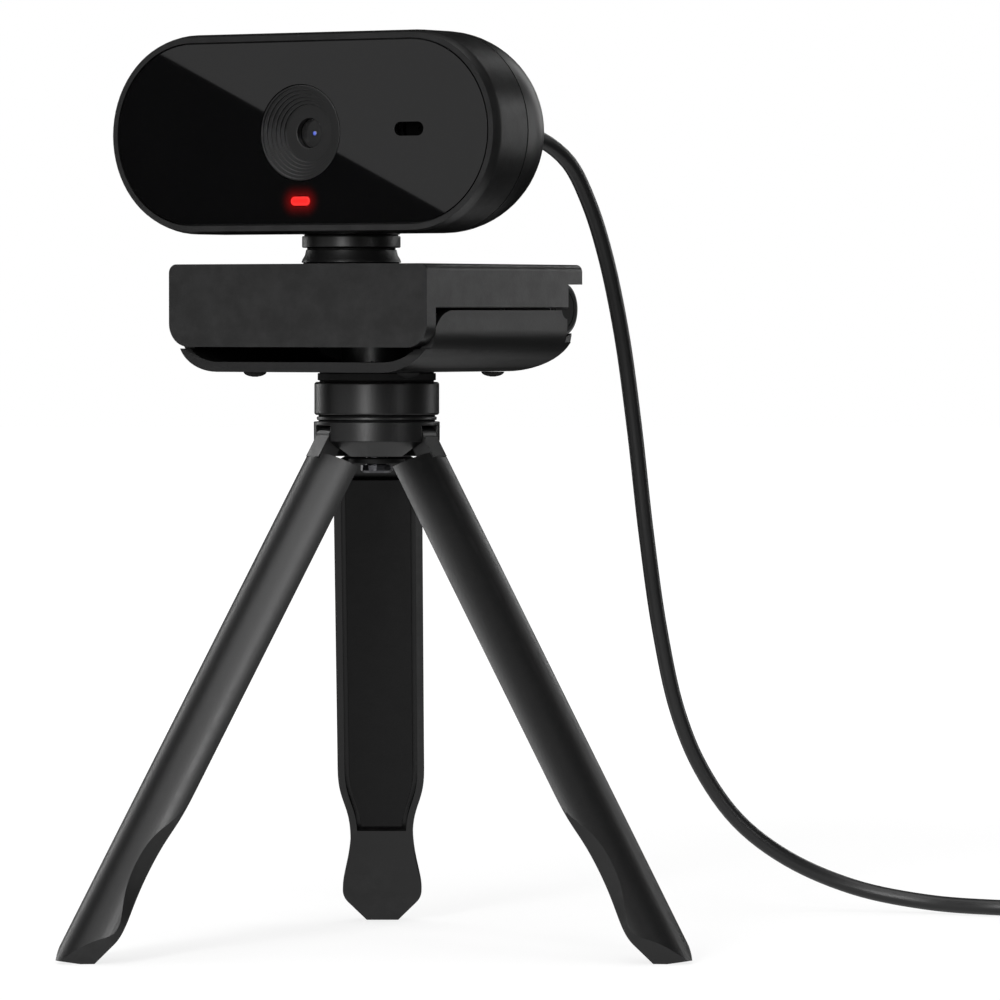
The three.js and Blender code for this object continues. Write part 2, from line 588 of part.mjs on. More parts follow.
// Everything beyond the foot's end: a slope up from the floor, and the floor itself
function footTool() {
  const size = LEG_CONTACT / 2;
  const slope = new THREE.BoxGeometry(size, size, size).translate(size / 2, 0, -size / 2);
  const floor = slope.clone();
  const start = new THREE.Vector3(LEG_INNER_FACE, 0, -LEG_CONTACT)
    .applyAxisAngle(AXIS_Y, -LEG_SPLAY_ANGLE);
  slope.translate(-size / 4, 0, 0).rotateY(-FOOT_RISE_ANGLE).translate(start.x, 0, start.z);
  floor.translate(-size / 2, 0, 0).translate(start.x, 0, start.z + FOOT_FLAT);
  return join(
    solid(slope.rotateY(LEG_SPLAY_ANGLE)),
    solid(floor.rotateY(LEG_SPLAY_ANGLE)),
  );
}

function makeLeg(side, azimuth) {
  const leg = new THREE.Group();
  leg.position.set(PIN_CIRCLE, 0, PIN_HEIGHT);
  leg.rotation.y = -LEG_SPLAY_ANGLE;
  const spoke = new THREE.Group();
  spoke.rotation.z = THREE.MathUtils.degToRad(azimuth);
  spoke.add(leg);
  tripod.add(spoke);

  const through = [LEG_INNER_FACE - OVERRUN, LEG_RIDGE + OVERRUN];
  const body = alongZ(legSection(), -LEG_TIP, -LEG_SHOULDER)
    .intersect(alongX(legOutline(LEG_SHOULDER - OVERRUN, 0), ...through));
  const halfKnuckle = KNUCKLE_WIDTH / 2;
  const barrel = round(KNUCKLE_RADIUS, -halfKnuckle, halfKnuckle);
  const tongue = block(
    [-KNUCKLE_RADIUS, -halfKnuckle, -LEG_SHOULDER - OVERRUN],
    [LEG_RIDGE, halfKnuckle, 0],
  );
  const recessFloor = LEG_INNER_FACE + LEG_RECESS_DEPTH;
  const recessEnd = INLAY_END + INLAY_GROOVE;
  const endTool = block(
    [-LEG_TIP, -LEG_TIP, -2 * LEG_TIP],
    [LEG_TIP, LEG_TIP, -recessEnd],
  );
  const recess = cut(
    alongX(legOutline(LEG_SHOULDER - OVERRUN, LEG_LIP), LEG_INNER_FACE - OVERRUN, recessFloor),
    endTool,
  );
  const shell = cut(
    join(body, turnedBack(barrel), tongue),
    recess,
    turnedBack(round(PIN_RADIUS + RUN_GAP, -KNUCKLE_WIDTH, KNUCKLE_WIDTH)),
    footTool(),
  );
  piece(leg, `leg_shell_${side}`, 'satinPlastic', shell);

  const inlayBack = recessFloor - SEAT_GAP;
  const inlay = alongX(legOutline(INLAY_TOP, LEG_LIP + INLAY_GROOVE),
    inlayBack - INLAY_THICKNESS, inlayBack);
  piece(leg, `leg_inlay_${side}`, 'mattePlastic', cut(inlay, block(
    [-LEG_TIP, -LEG_TIP, -2 * LEG_TIP],
    [LEG_TIP, LEG_TIP, -INLAY_END],
  )));

  // The pin stays in the hub, so it doesn't lean with the leg
  const pinHalf = PIN_LENGTH / 2;
  piece(spoke, `leg_pin_${side}`, 'steel',
    turnedBack(round(PIN_RADIUS, -pinHalf, pinHalf), [PIN_CIRCLE, PIN_HEIGHT]));
}

// ---- Clip: arm with flap, jaw, hinge -----------------------------------------------------

function makeClipArm() {
  const roofBottom = ARM_TOP - CLIP_WALL;
  const armEnd = HINGE_Y + ARM_OVERHANG;
  const section = roundedRectangle(CLIP_WIDTH, ARM_DEPTH, ARM_EDGE_RADIUS, 0.2,
    [0, ARM_BOTTOM + ARM_DEPTH / 2]);
  const flap = roundedRectangle(CLIP_WIDTH, FLAP_HEIGHT, FLAP_TOP_RADIUS, FLAP_BOTTOM_RADIUS,
    [0, ARM_TOP - FLAP_HEIGHT / 2]);
  const cavity = block(
    [-ARM_HALF + CLIP_WALL, FLAP_BACK, ARM_BOTTOM - OVERRUN],
    [ARM_HALF - CLIP_WALL, armEnd - CLIP_WALL, roofBottom],
  );
  const underHang = block(
    [-ARM_HALF - OVERRUN, HINGE_Y, ARM_BOTTOM - OVERRUN],
    [ARM_HALF + OVERRUN, armEnd + OVERRUN, ARM_TOP - ARM_OVERHANG_DEPTH],
  );
  const neckBoss = turnedUp(
    round(ARM_NECK_BOSS_RADIUS, roofBottom - ARM_NECK_BOSS_DEPTH, ARM_TOP - CLIP_WALL / 2),
    [0, -NECK_IN_FRONT]);
  const knuckles = [-1, 1].flatMap((side) => {
    const ends = [side * (JAW_KNUCKLE_HALF + RUN_GAP), side * ARM_KNUCKLE_END].sort((a, b) => a - b);
    const web = block(
      [ends[0], HINGE_WEB_FRONT, HINGE_HEIGHT],
      [ends[1], HINGE_Y + OVERRUN, roofBottom + CLIP_WALL / 2],
    );
    return [turnedAcross(round(HINGE_RADIUS, ...ends), [HINGE_Y, HINGE_HEIGHT]), web];
  });
  const swivelBore = turnedUp(
    round(SWIVEL_RADIUS + RUN_GAP, ARM_BOTTOM, ARM_TOP + OVERRUN), [0, -NECK_IN_FRONT]);
  const pinBore = turnedAcross(
    round(HINGE_PIN_RADIUS + SEAT_GAP, -CLIP_WIDTH, CLIP_WIDTH), [HINGE_Y, HINGE_HEIGHT]);
  const capRooms = [-1, 1].map((side) => {
    const ends = [side * ARM_KNUCKLE_END, side * CLIP_WIDTH].sort((a, b) => a - b);
    return turnedAcross(round(HINGE_CAP_RADIUS + SEAT_GAP, ...ends), [HINGE_Y, HINGE_HEIGHT]);
  });
  const shell = cut(alongY(section, -CLIP_FRONT + 0.3, armEnd), cavity, underHang);
  const arm = join(shell, alongY(flap, -CLIP_FRONT, FLAP_BACK), neckBoss, ...knuckles);
  piece(webcam, 'clip_arm', 'satinPlastic', cut(arm, swivelBore, pinBore, ...capRooms));

  const [padWidth, padThickness, padHeight] = FLAP_PAD_SIZE;
  const padY = FLAP_BACK + SEAT_GAP;
  const padMiddle = ARM_TOP - FLAP_HEIGHT / 2;
  piece(webcam, 'flap_pad', 'rubber', block(
    [-padWidth / 2, padY, padMiddle - padHeight / 2],
    [padWidth / 2, padY + padThickness, padMiddle + padHeight / 2],
  ));
}

// The jaw's section across the clip: upright sides and wide, low bottom corners
function jawSection(inset, top) {
  const half = JAW_HALF - inset;
  const low = JAW_BOTTOM + inset;
  const [cornerX, cornerZ] = [JAW_CORNER_WIDTH - inset, JAW_CORNER_HEIGHT - inset];
  const shape = new THREE.Shape();
  shape.moveTo(-half, top);
  shape.absellipse(-half + cornerX, low + cornerZ, cornerX, cornerZ, Math.PI, 1.5 * Math.PI);
  shape.absellipse(half - cornerX, low + cornerZ, cornerX, cornerZ, 1.5 * Math.PI, 2 * Math.PI);
  shape.lineTo(half, top);
  return shape;
}

// The jaw from the side: its front edge leans back to the rims, and its back is rounded under
function jawSide() {
  const [leanShare, heightShare] = JAW_FRONT_BEND;
  const [backIn, backUp] = JAW_BACK_BEND;
  const shape = new THREE.Shape();
  shape.moveTo(JAW_FRONT, JAW_BOTTOM);
  shape.quadraticCurveTo(JAW_FRONT + leanShare * JAW_LEAN, JAW_BOTTOM + heightShare * JAW_HEIGHT,
    JAW_FRONT + JAW_LEAN, JAW_TOP);
  shape.lineTo(JAW_REAR, JAW_TOP);
  shape.lineTo(JAW_REAR, JAW_BOTTOM + JAW_BACK_RADIUS);
  shape.quadraticCurveTo(JAW_REAR - backIn, JAW_BOTTOM + backUp,
    JAW_REAR - JAW_BACK_RADIUS, JAW_BOTTOM);
  return shape;
}

function makeJaw() {
  const tray = alongY(jawSection(0, JAW_TOP), JAW_FRONT, JAW_REAR)
    .intersect(alongX(jawSide(), -CLIP_WIDTH, CLIP_WIDTH));
  const hollow = alongY(jawSection(CLIP_WALL, JAW_TOP + OVERRUN), JAW_FRONT - OVERRUN,
    HINGE_Y - HINGE_RADIUS);
  const barrelRoom = turnedAcross(
    round(HINGE_RADIUS + RUN_GAP, -CLIP_WIDTH, CLIP_WIDTH), [HINGE_Y, HINGE_HEIGHT]);
  const flapRoom = block(
    [-CLIP_WIDTH, -CLIP_FRONT - OVERRUN, ARM_TOP - FLAP_HEIGHT - RUN_GAP],
    [CLIP_WIDTH, FLAP_BACK + RUN_GAP, JAW_TOP + OVERRUN],
  );
  const knuckle = turnedAcross(
    round(HINGE_RADIUS, -JAW_KNUCKLE_HALF, JAW_KNUCKLE_HALF), [HINGE_Y, HINGE_HEIGHT]);
  const webFoot = block(
    [-JAW_KNUCKLE_HALF, HINGE_WEB_FRONT, JAW_BOTTOM + CLIP_WALL / 2],
    [JAW_KNUCKLE_HALF, JAW_REAR, HINGE_HEIGHT],
  ).intersect(alongX(jawSide(), -CLIP_WIDTH, CLIP_WIDTH));
  const bossTop = JAW_BOTTOM + INSERT_LENGTH + SEAT_GAP + CLIP_WALL;
  const boss = turnedUp(round(INSERT_RADIUS + INSERT_BOSS_WALL, JAW_BOTTOM + CLIP_WALL / 2, bossTop));
  const insertBore = turnedUp(
    round(INSERT_RADIUS + SEAT_GAP, JAW_BOTTOM - OVERRUN, bossTop - CLIP_WALL));
  const pinBore = turnedAcross(
    round(HINGE_PIN_RADIUS + SEAT_GAP, -CLIP_WIDTH, CLIP_WIDTH), [HINGE_Y, HINGE_HEIGHT]);
  const jaw = cut(
    join(cut(tray, hollow, barrelRoom, flapRoom), knuckle, webFoot, boss),
    insertBore,
    pinBore,
  );
  piece(webcam, 'clip_jaw', 'satinPlastic', jaw);

  piece(webcam, 'thread_insert', 'brass', turnedUp(
    round(INSERT_RADIUS, JAW_BOTTOM, JAW_BOTTOM + INSERT_LENGTH, SCREW_RADIUS + SEAT_GAP)));

  for (const [end, y] of Object.entries(DESK_FOOT_Y)) {
    for (const [side, x] of [['left', -DESK_FOOT_X], ['right', DESK_FOOT_X]]) {
      const top = JAW_BOTTOM - GLUE_GAP;
      piece(webcam, `desk_foot_${end}_${side}`, 'rubber', turnedUp([
        [0, top - DESK_FOOT_HEIGHT], [0.62 * DESK_FOOT_RADIUS, top - DESK_FOOT_HEIGHT],
        [0.9 * DESK_FOOT_RADIUS, top - 0.55 * DESK_FOOT_HEIGHT], [DESK_FOOT_RADIUS, top],
        [0, top],
      ], [x, y]));
    }
  }
}

function makeHinge() {
  const capInner = ARM_KNUCKLE_END + SEAT_GAP;
  piece(webcam, 'hinge_pin', 'steel', turnedAcross(
    round(HINGE_PIN_RADIUS, -ARM_KNUCKLE_END, ARM_KNUCKLE_END), [HINGE_Y, HINGE_HEIGHT]));
  for (const [side, sign] of [['left', -1], ['right', 1]]) {
    const ends = [sign * capInner, sign * (capInner + HINGE_CAP_THICKNESS)].sort((a, b) => a - b);
    piece(webcam, `hinge_cap_${side}`, 'mattePlastic',
      turnedAcross(round(HINGE_CAP_RADIUS, ...ends), [HINGE_Y, HINGE_HEIGHT]));
  }
}

// ---- Neck --------------------------------------------------------------------------------

const NECK_AT = [0, -NECK_IN_FRONT];
const SWIVEL_BORE = SWIVEL_RADIUS + RUN_GAP;
const BOSS_FLOOR = NECK_COLLAR_TOP + SEAT_GAP;

function makeNeck() {
  const baseTop = NECK_BASE_BOTTOM + NECK_BASE_HEIGHT;
  piece(webcam, 'neck_base', 'satinPlastic', turnedUp([
    [SWIVEL_BORE, NECK_BASE_BOTTOM], [NECK_BASE_RADIUS, NECK_BASE_BOTTOM],
    [NECK_WAIST_RADIUS + NECK_ROUND, NECK_BASE_BOTTOM + 0.55 * NECK_BASE_HEIGHT],
    [NECK_WAIST_RADIUS, baseTop], [SWIVEL_BORE, baseTop], [SWIVEL_BORE, NECK_BASE_BOTTOM],
  ], NECK_AT));

  piece(webcam, 'neck_collar', 'satinPlastic', turnedUp([
    [SWIVEL_BORE, NECK_COLLAR_BOTTOM], [NECK_COLLAR_RADIUS - NECK_ROUND, NECK_COLLAR_BOTTOM],
    [NECK_COLLAR_RADIUS, NECK_COLLAR_BOTTOM + NECK_ROUND],
    [NECK_COLLAR_RADIUS, NECK_COLLAR_TOP], [SWIVEL_BORE, NECK_COLLAR_TOP],
    [SWIVEL_BORE, NECK_COLLAR_BOTTOM],
  ], NECK_AT));

  // The post hangs from the head by its flange, and a washer and screw hold it under the arm
  const flangeBottom = BOSS_FLOOR + HOUSING_WALL + SEAT_GAP;
  const flangeTop = flangeBottom + SWIVEL_FLANGE_THICKNESS;
  const postEnd = ARM_TOP - CLIP_WALL - ARM_NECK_BOSS_DEPTH - SEAT_GAP;
  piece(webcam, 'swivel_post', 'steel', turnedUp([
    [SWIVEL_SCREW_RADIUS + SEAT_GAP, postEnd], [SWIVEL_RADIUS, postEnd],
    [SWIVEL_RADIUS, flangeBottom], [SWIVEL_FLANGE_RADIUS, flangeBottom],
    [SWIVEL_FLANGE_RADIUS, flangeTop], [SWIVEL_SCREW_RADIUS + SEAT_GAP, flangeTop],
    [SWIVEL_SCREW_RADIUS + SEAT_GAP, postEnd],
  ], NECK_AT));

  const washerTop = postEnd - SEAT_GAP / 2;
  const washerBottom = washerTop - SWIVEL_WASHER_THICKNESS;
  piece(webcam, 'swivel_washer', 'steel', turnedUp(round(
    ARM_NECK_BOSS_RADIUS - SWIVEL_WASHER_INSET, washerBottom, washerTop, SWIVEL_SCREW_RADIUS + SEAT_GAP),
  NECK_AT));

  const screwTop = washerBottom - SEAT_GAP;
  const [headRadius, headHeight] = SWIVEL_SCREW_HEAD;
  piece(webcam, 'swivel_screw', 'darkSteel', turnedUp([
    [0, screwTop - headHeight], [headRadius, screwTop - headHeight], [headRadius, screwTop],
    [SWIVEL_SCREW_RADIUS, screwTop],
    [SWIVEL_SCREW_RADIUS, flangeBottom], [0, flangeBottom],
  ], NECK_AT));
}

// ---- Head: housings and window, in a frame whose origin is the face's centre ---------------

const NECK_DEPTH = FACE_IN_FRONT - NECK_IN_FRONT;

// Radius of the rear shell's outside at a depth behind the face
function domeRadius(depth, inset = 0) {
  const start = HOUSING_SEAM + SEAT_GAP;
  const share = Math.min(1, Math.max(0, (depth - start) / (HEAD_DEPTH - inset - start)));
  return HOUSING_RADIUS - inset - DOME_INSET * (1 - Math.sqrt(1 - share * share));
}

function domeProfile(inset) {
  const start = HOUSING_SEAM + SEAT_GAP;
  const end = HEAD_DEPTH - inset;
  const steps = 8;
  const arc = Array.from({ length: steps + 1 }, (_, i) => {
    const depth = start + (end - start) * Math.sin((i / steps) * Math.PI / 2);
    return [domeRadius(depth, inset), depth];
  });
  const front = inset > 0 ? start - OVERRUN : start;
  return [[0, front], ...(inset > 0 ? [[HOUSING_RADIUS - inset, front]] : []), ...arc, [0, end]];
}

function screwPosts(radius, front, back) {
  return [-HOUSING_SCREW_X, HOUSING_SCREW_X].map(
    (x) => turnedBack(round(radius, front, back), [x, 0]));
}

function makeFrontHousing() {
  const band = pill([
    [0, 0], [FACE_RADIUS - FACE_EDGE, 0], [FACE_RADIUS, FACE_EDGE],
    [HOUSING_RADIUS - FACE_SHOULDER / 4, SHOULDER_DEPTHS[0]], [HOUSING_RADIUS, SHOULDER_DEPTHS[1]],
    [HOUSING_RADIUS, HOUSING_SEAM], [0, HOUSING_SEAM],
  ]);
  const windowPocket = plainPill(FACE_RADIUS - RIM_WIDTH, -OVERRUN, BULKHEAD_FRONT);
  const rearRoom = plainPill(HOUSING_RADIUS - HOUSING_WALL, BULKHEAD_BACK, HOUSING_SEAM + OVERRUN);
  const hoodHole = turnedBack(round(HOOD_RADIUS + SEAT_GAP, 0, HOUSING_SEAM));
  const slotHole = ([width, height], at) => alongY(
    slot([width + 2 * SEAT_GAP, height + 2 * SEAT_GAP], at), 0, HOUSING_SEAM);
  const screwHoles = [
    ...screwPosts(HOUSING_SCREW_RADIUS + SEAT_GAP, 0, HOUSING_SEAM),
    ...screwPosts(HOUSING_SCREW_HEAD + SEAT_GAP, 0, SCREW_HEAD_BACK + SEAT_GAP),
  ];
  const boardPosts = [-BOARD_SCREW_X, BOARD_SCREW_X].map((x) => cut(
    turnedBack(round(BOARD_POST_RADIUS, BULKHEAD_BACK - 0.5, BOARD_FRONT - SEAT_GAP), [x, BOARD_SCREW_Z]),
    turnedBack(round(BOARD_SCREW_RADIUS + SEAT_GAP, BULKHEAD_BACK, BOARD_FRONT), [x, BOARD_SCREW_Z]),
  ));
  const housing = cut(
    band, windowPocket, rearRoom, hoodHole,
    slotHole(MIC_SLOT, [MIC_X, MIC_Z]), slotHole(LED_SLOT, [0, LED_Z]), ...screwHoles,
  );
  piece(head, 'front_housing', 'satinPlastic', join(housing, ...boardPosts));
}

function makeWindow() {
  const radius = FACE_RADIUS - RIM_WIDTH - SEAT_GAP;
  const pane = pill([
    [0, WINDOW_RECESS], [radius - WINDOW_BEVEL, WINDOW_RECESS],
    [radius, WINDOW_RECESS + WINDOW_BEVEL], [radius, WINDOW_BACK], [0, WINDOW_BACK],
  ]);
  const through = [0 - OVERRUN, WINDOW_BACK + OVERRUN];
  piece(head, 'front_window', 'glossPlastic', cut(
    pane,
    turnedBack(round(HOOD_RADIUS + SEAT_GAP / 2, ...through)),
    alongY(slot(MIC_SLOT, [MIC_X, MIC_Z]), ...through),
    alongY(slot(LED_SLOT.map((size) => size + SEAT_GAP), [0, LED_Z]), ...through),
  ));
}

function makeRearShell() {
  const outer = pill(domeProfile(0));
  const inner = pill(domeProfile(HOUSING_WALL));
  const bossTop = -HOUSING_RADIUS + NECK_BOSS_HEIGHT;
  const bossRadius = NECK_COLLAR_RADIUS - NECK_BOSS_INSET;
  const floorZ = BOSS_FLOOR - HEAD_HEIGHT;
  const start = HOUSING_SEAM + SEAT_GAP;
  const seatTool = block(
    [-CLIP_WIDTH, start - 2 * NECK_COLLAR_RADIUS, -2 * HOUSING_RADIUS],
    [CLIP_WIDTH, start, 2 * HOUSING_RADIUS],
  );
  const neckBoss = cut(turnedUp(
    round(bossRadius, floorZ, bossTop), [0, NECK_DEPTH]), seatTool);
  const bossRoom = cut(turnedUp(
    round(bossRadius - HOUSING_WALL, floorZ + HOUSING_WALL, bossTop + OVERRUN),
    [0, NECK_DEPTH]), seatTool);
  const postBore = turnedUp(
    round(SWIVEL_BORE, floorZ - OVERRUN, floorZ + HOUSING_WALL + OVERRUN), [0, NECK_DEPTH]);
  const posts = screwPosts(HOUSING_POST_RADIUS, start, HEAD_DEPTH - HOUSING_WALL)
    .map((post) => post.intersect(outer));
  const postHoles = screwPosts(
    HOUSING_SCREW_RADIUS + SEAT_GAP, 0, SCREW_HEAD_BACK + HOUSING_SCREW_LENGTH + SEAT_GAP);
  const glandHole = turnedBack(round(GLAND_RADIUS + SEAT_GAP, 0, HEAD_DEPTH + OVERRUN));
  const shell = cut(join(outer, neckBoss), inner, bossRoom, postBore);
  piece(head, 'rear_shell', 'satinPlastic',
    cut(join(shell, ...posts), ...postHoles, glandHole));

  for (const [side, x] of [['left', -HOUSING_SCREW_X], ['right', HOUSING_SCREW_X]]) {
    piece(head, `housing_screw_${side}`, 'darkSteel', turnedBack([
      [0, BULKHEAD_FRONT], [HOUSING_SCREW_HEAD, BULKHEAD_FRONT],
      [HOUSING_SCREW_HEAD, SCREW_HEAD_BACK], [HOUSING_SCREW_RADIUS, SCREW_HEAD_BACK],
      [HOUSING_SCREW_RADIUS, SCREW_HEAD_BACK + HOUSING_SCREW_LENGTH],
      [0, SCREW_HEAD_BACK + HOUSING_SCREW_LENGTH],
    ], [x, 0]));
  }
}

// ---- Head: lens, board and what sits on it ---------------------------------------------------

function makeLens() {
  // Rings that step inwards to a flat floor with the lens's aperture
  const steps = [];
  for (let i = 0; i < HOOD_STEPS; i += 1) {
    const radius = HOOD_RADIUS - HOOD_EDGE - i * HOOD_STEP_WIDTH;
    steps.push([radius, WINDOW_RECESS + i * HOOD_STEP_DEPTH]);
    steps.push([radius, WINDOW_RECESS + (i + 1) * HOOD_STEP_DEPTH]);
  }
  piece(head, 'lens_hood', 'mattePlastic', turnedBack([
    [APERTURE_RADIUS, HOOD_BACK], [HOOD_RADIUS, HOOD_BACK], [HOOD_RADIUS, WINDOW_RECESS],
    ...steps, [APERTURE_RADIUS, HOOD_FLOOR_FRONT], [APERTURE_RADIUS, HOOD_BACK],
  ]));

  piece(head, 'lens_barrel', 'mattePlastic', turnedBack([
    [BARREL_BORE, BARREL_FRONT], [BARREL_RADIUS, BARREL_FRONT],
    [BARREL_RADIUS, BARREL_BACK], [BARREL_BORE, BARREL_BACK], [BARREL_BORE, BARREL_FRONT],
  ]));
  const dome = [0, 0.25, 0.5, 0.75, 1].map((share) => [
    LENS_RADIUS * share, BARREL_FRONT + LENS_DOME * share * share,
  ]);
  const edge = BARREL_FRONT + LENS_DOME + LENS_EDGE;
  piece(head, 'lens_glass', 'glass', turnedBack([...dome, [LENS_RADIUS, edge], [0, edge]]));

  const half = HOLDER_SIZE / 2;
  piece(head, 'lens_holder', 'mattePlastic', cut(
    block([-half, HOLDER_FRONT, -half], [half, HOLDER_FRONT + HOLDER_LENGTH, half]),
    turnedBack(round(BARREL_RADIUS + SEAT_GAP, 0, HEAD_DEPTH)),
  ));
}

function makeBoard() {
  const outline = roundedRectangle(BOARD_WIDTH, BOARD_HEIGHT, BOARD_CORNER, BOARD_CORNER);
  const holes = [-BOARD_SCREW_X, BOARD_SCREW_X].map((x) => turnedBack(
    round(BOARD_SCREW_RADIUS + SEAT_GAP, 0, HEAD_DEPTH), [x, BOARD_SCREW_Z]));
  piece(head, 'main_board', 'board', cut(alongY(outline, BOARD_FRONT, BOARD_BACK), ...holes));

  for (const [side, x] of [['left', -BOARD_SCREW_X], ['right', BOARD_SCREW_X]]) {
    const headFront = BOARD_BACK + SEAT_GAP;
    piece(head, `board_screw_${side}`, 'steel', turnedBack([
      [0, BULKHEAD_BACK + 1], [BOARD_SCREW_RADIUS, BULKHEAD_BACK + 1],
      [BOARD_SCREW_RADIUS, headFront], [BOARD_SCREW_HEAD, headFront],
      [BOARD_SCREW_HEAD, headFront + 1], [0, headFront + 1],
    ], [x, BOARD_SCREW_Z]));
  }

  const halfSensor = SENSOR_SIZE / 2;
  piece(head, 'image_sensor', 'glass', block(
    [-halfSensor, SENSOR_FRONT, -halfSensor],
    [halfSensor, SENSOR_FRONT + SENSOR_THICKNESS, halfSensor],
  ));

  const [chipWidth, chipDepth, chipHeight] = LED_CHIP;
  const chipBack = BOARD_FRONT - SEAT_GAP;
  piece(head, 'status_led', 'redLight', block(
    [-chipWidth / 2, chipBack - chipDepth, LED_Z - chipHeight / 2],
    [chipWidth / 2, chipBack, LED_Z + chipHeight / 2],
  ));
  piece(head, 'light_pipe', 'redLight', alongY(
    slot(LED_SLOT, [0, LED_Z]), WINDOW_RECESS, chipBack - chipDepth - SEAT_GAP));

  const micFront = BULKHEAD_BACK + SEAT_GAP;
  piece(head, 'microphone', 'darkSteel', turnedBack(
    round(MIC_RADIUS, micFront, micFront + MIC_THICKNESS), [MIC_X, MIC_Z]));
}

// ---- Cable -------------------------------------------------------------------------------

function makeGland() {
  const inside = HEAD_DEPTH - HOUSING_WALL - SEAT_GAP;
  const flangeFront = inside - GLAND_FLANGE_THICKNESS;
  piece(head, 'strain_relief', 'rubber', turnedBack([
    [0, flangeFront], [GLAND_FLANGE_RADIUS, flangeFront], [GLAND_FLANGE_RADIUS, inside],
    [GLAND_RADIUS, inside], [GLAND_RADIUS, HEAD_DEPTH + 0.6],
    [GLAND_TIP_RADIUS, HEAD_DEPTH + GLAND_LENGTH - 0.4],
    [GLAND_TIP_RADIUS - 0.4, HEAD_DEPTH + GLAND_LENGTH],
    [0, HEAD_DEPTH + GLAND_LENGTH],
  ]));
}

function cableTube(name, points, steps) {
  const section = new THREE.Shape(Array.from({ length: CABLE_SIDES }, (_, i) => {
    const angle = (i * 2 * Math.PI) / CABLE_SIDES;
    return new THREE.Vector2(Math.cos(angle), Math.sin(angle)).multiplyScalar(CABLE_DIAMETER / 2);
  }));
  const extrudePath = new THREE.CatmullRomCurve3(points, false, 'centripetal');
  piece(tripod, name, 'rubber', solid(
    new THREE.ExtrudeGeometry(section, { steps, extrudePath, bevelEnabled: false })));
}

const COIL_AXIS = new THREE.Vector3(...COIL_CENTRE, 0);
const COIL_OUTER = (COIL_MEAN_DIAMETER + COIL_COLUMNS * CABLE_DIAMETER) / 2;
const COIL_INNER = (COIL_MEAN_DIAMETER - COIL_COLUMNS * CABLE_DIAMETER) / 2;
const COIL_BOTTOM = TIE_THICKNESS + SEAT_GAP;
const COIL_TOP = COIL_BOTTOM + COIL_LAYERS * CABLE_DIAMETER;
const OUTER_TURN = COIL_OUTER - CABLE_DIAMETER / 2;

// A point beside the coil: along the tangent of its outer turn, at an angle round the coil
function besideCoil(angle, ahead, height) {
  const [c, s] = [Math.cos(angle), Math.sin(angle)];
  return new THREE.Vector3(OUTER_TURN * c - ahead * s, OUTER_TURN * s + ahead * c, height)
    .add(COIL_AXIS);
}

// How far along the tangent of the outer turn a cable's end comes clear of the coil's outside
const CLEAR_OF_COIL = Math.sqrt((COIL_OUTER + SEAT_GAP) ** 2 - (OUTER_TURN - CABLE_DIAMETER / 2) ** 2);
const ARRIVAL_ANGLE = THREE.MathUtils.degToRad(-112);
const DEPARTURE_ANGLE = THREE.MathUtils.degToRad(-90);
const PLUG_FROM_TANGENT = 38;

function makeCable() {
  const vectors = (points) => points.map((point) => new THREE.Vector3(...point));
  const tip = new THREE.Vector3(0, HEAD_DEPTH + GLAND_LENGTH + SEAT_GAP - FACE_IN_FRONT, HEAD_HEIGHT)
    .applyAxisAngle(AXIS_Z, WEBCAM_YAW);
  cableTube('usb_cable_upper', [tip, ...vectors(UPPER_ROUTE)], UPPER_CABLE_STEPS);

  const lower = vectors(LOWER_ROUTE);
  const fall = lower[1].clone().sub(lower[0]).normalize();
  lower[0].addScaledVector(fall, SEAT_GAP);
  lower.push(besideCoil(ARRIVAL_ANGLE, -CLEAR_OF_COIL, COIL_BOTTOM + CABLE_DIAMETER / 2));
  cableTube('usb_cable_lower', lower, LOWER_CABLE_STEPS);

  piece(tripod, 'cable_coil', 'rubber', turnedUp([
    [COIL_INNER, COIL_BOTTOM + COIL_EDGE], [COIL_INNER + COIL_EDGE, COIL_BOTTOM],
    [COIL_OUTER - COIL_EDGE, COIL_BOTTOM], [COIL_OUTER, COIL_BOTTOM + COIL_EDGE],
    [COIL_OUTER, COIL_TOP - COIL_EDGE], [COIL_OUTER - COIL_EDGE, COIL_TOP],
    [COIL_INNER + COIL_EDGE, COIL_TOP], [COIL_INNER, COIL_TOP - COIL_EDGE],
    [COIL_INNER, COIL_BOTTOM + COIL_EDGE],
  ], COIL_CENTRE));

  const highTurn = COIL_TOP - CABLE_DIAMETER / 2;
  const plugHeight = PLUG_BODY_SIZE[2] / 2;
  cableTube('usb_cable_tail', [
    besideCoil(DEPARTURE_ANGLE, CLEAR_OF_COIL, highTurn - 1.2),
    besideCoil(DEPARTURE_ANGLE, (CLEAR_OF_COIL + PLUG_FROM_TANGENT) / 2, (highTurn + plugHeight) / 2),
    besideCoil(DEPARTURE_ANGLE, PLUG_FROM_TANGENT - 3, plugHeight + 0.1),
    besideCoil(DEPARTURE_ANGLE, PLUG_FROM_TANGENT, plugHeight),
  ], TAIL_STEPS);
}

// A strap round the coil's section: a band with a rectangular hole, square to the turns
function makeTie() {
  const low = 0;
  const high = COIL_TOP + SEAT_GAP + TIE_THICKNESS;
  const inner = COIL_INNER - SEAT_GAP - TIE_THICKNESS;
  const outer = COIL_OUTER + SEAT_GAP + TIE_THICKNESS;
  const half = TIE_WIDTH / 2;
  // The strap is flat and the coil's bore is round, so its inner wall stands off by the bore's sag
  const sag = COIL_INNER - Math.sqrt(COIL_INNER ** 2 - half ** 2);
  const band = cut(
    block([inner - sag, -half, low], [outer, half, high]),
    block(
      [inner - sag + TIE_THICKNESS, -half - OVERRUN, low + TIE_THICKNESS],
      [outer - TIE_THICKNESS, half + OVERRUN, high - TIE_THICKNESS],
    ),
  );
  const tie = piece(tripod, 'coil_tie', 'rubber', band);
  tie.position.copy(COIL_AXIS);
  tie.rotation.z = TIE_ANGLE;
}

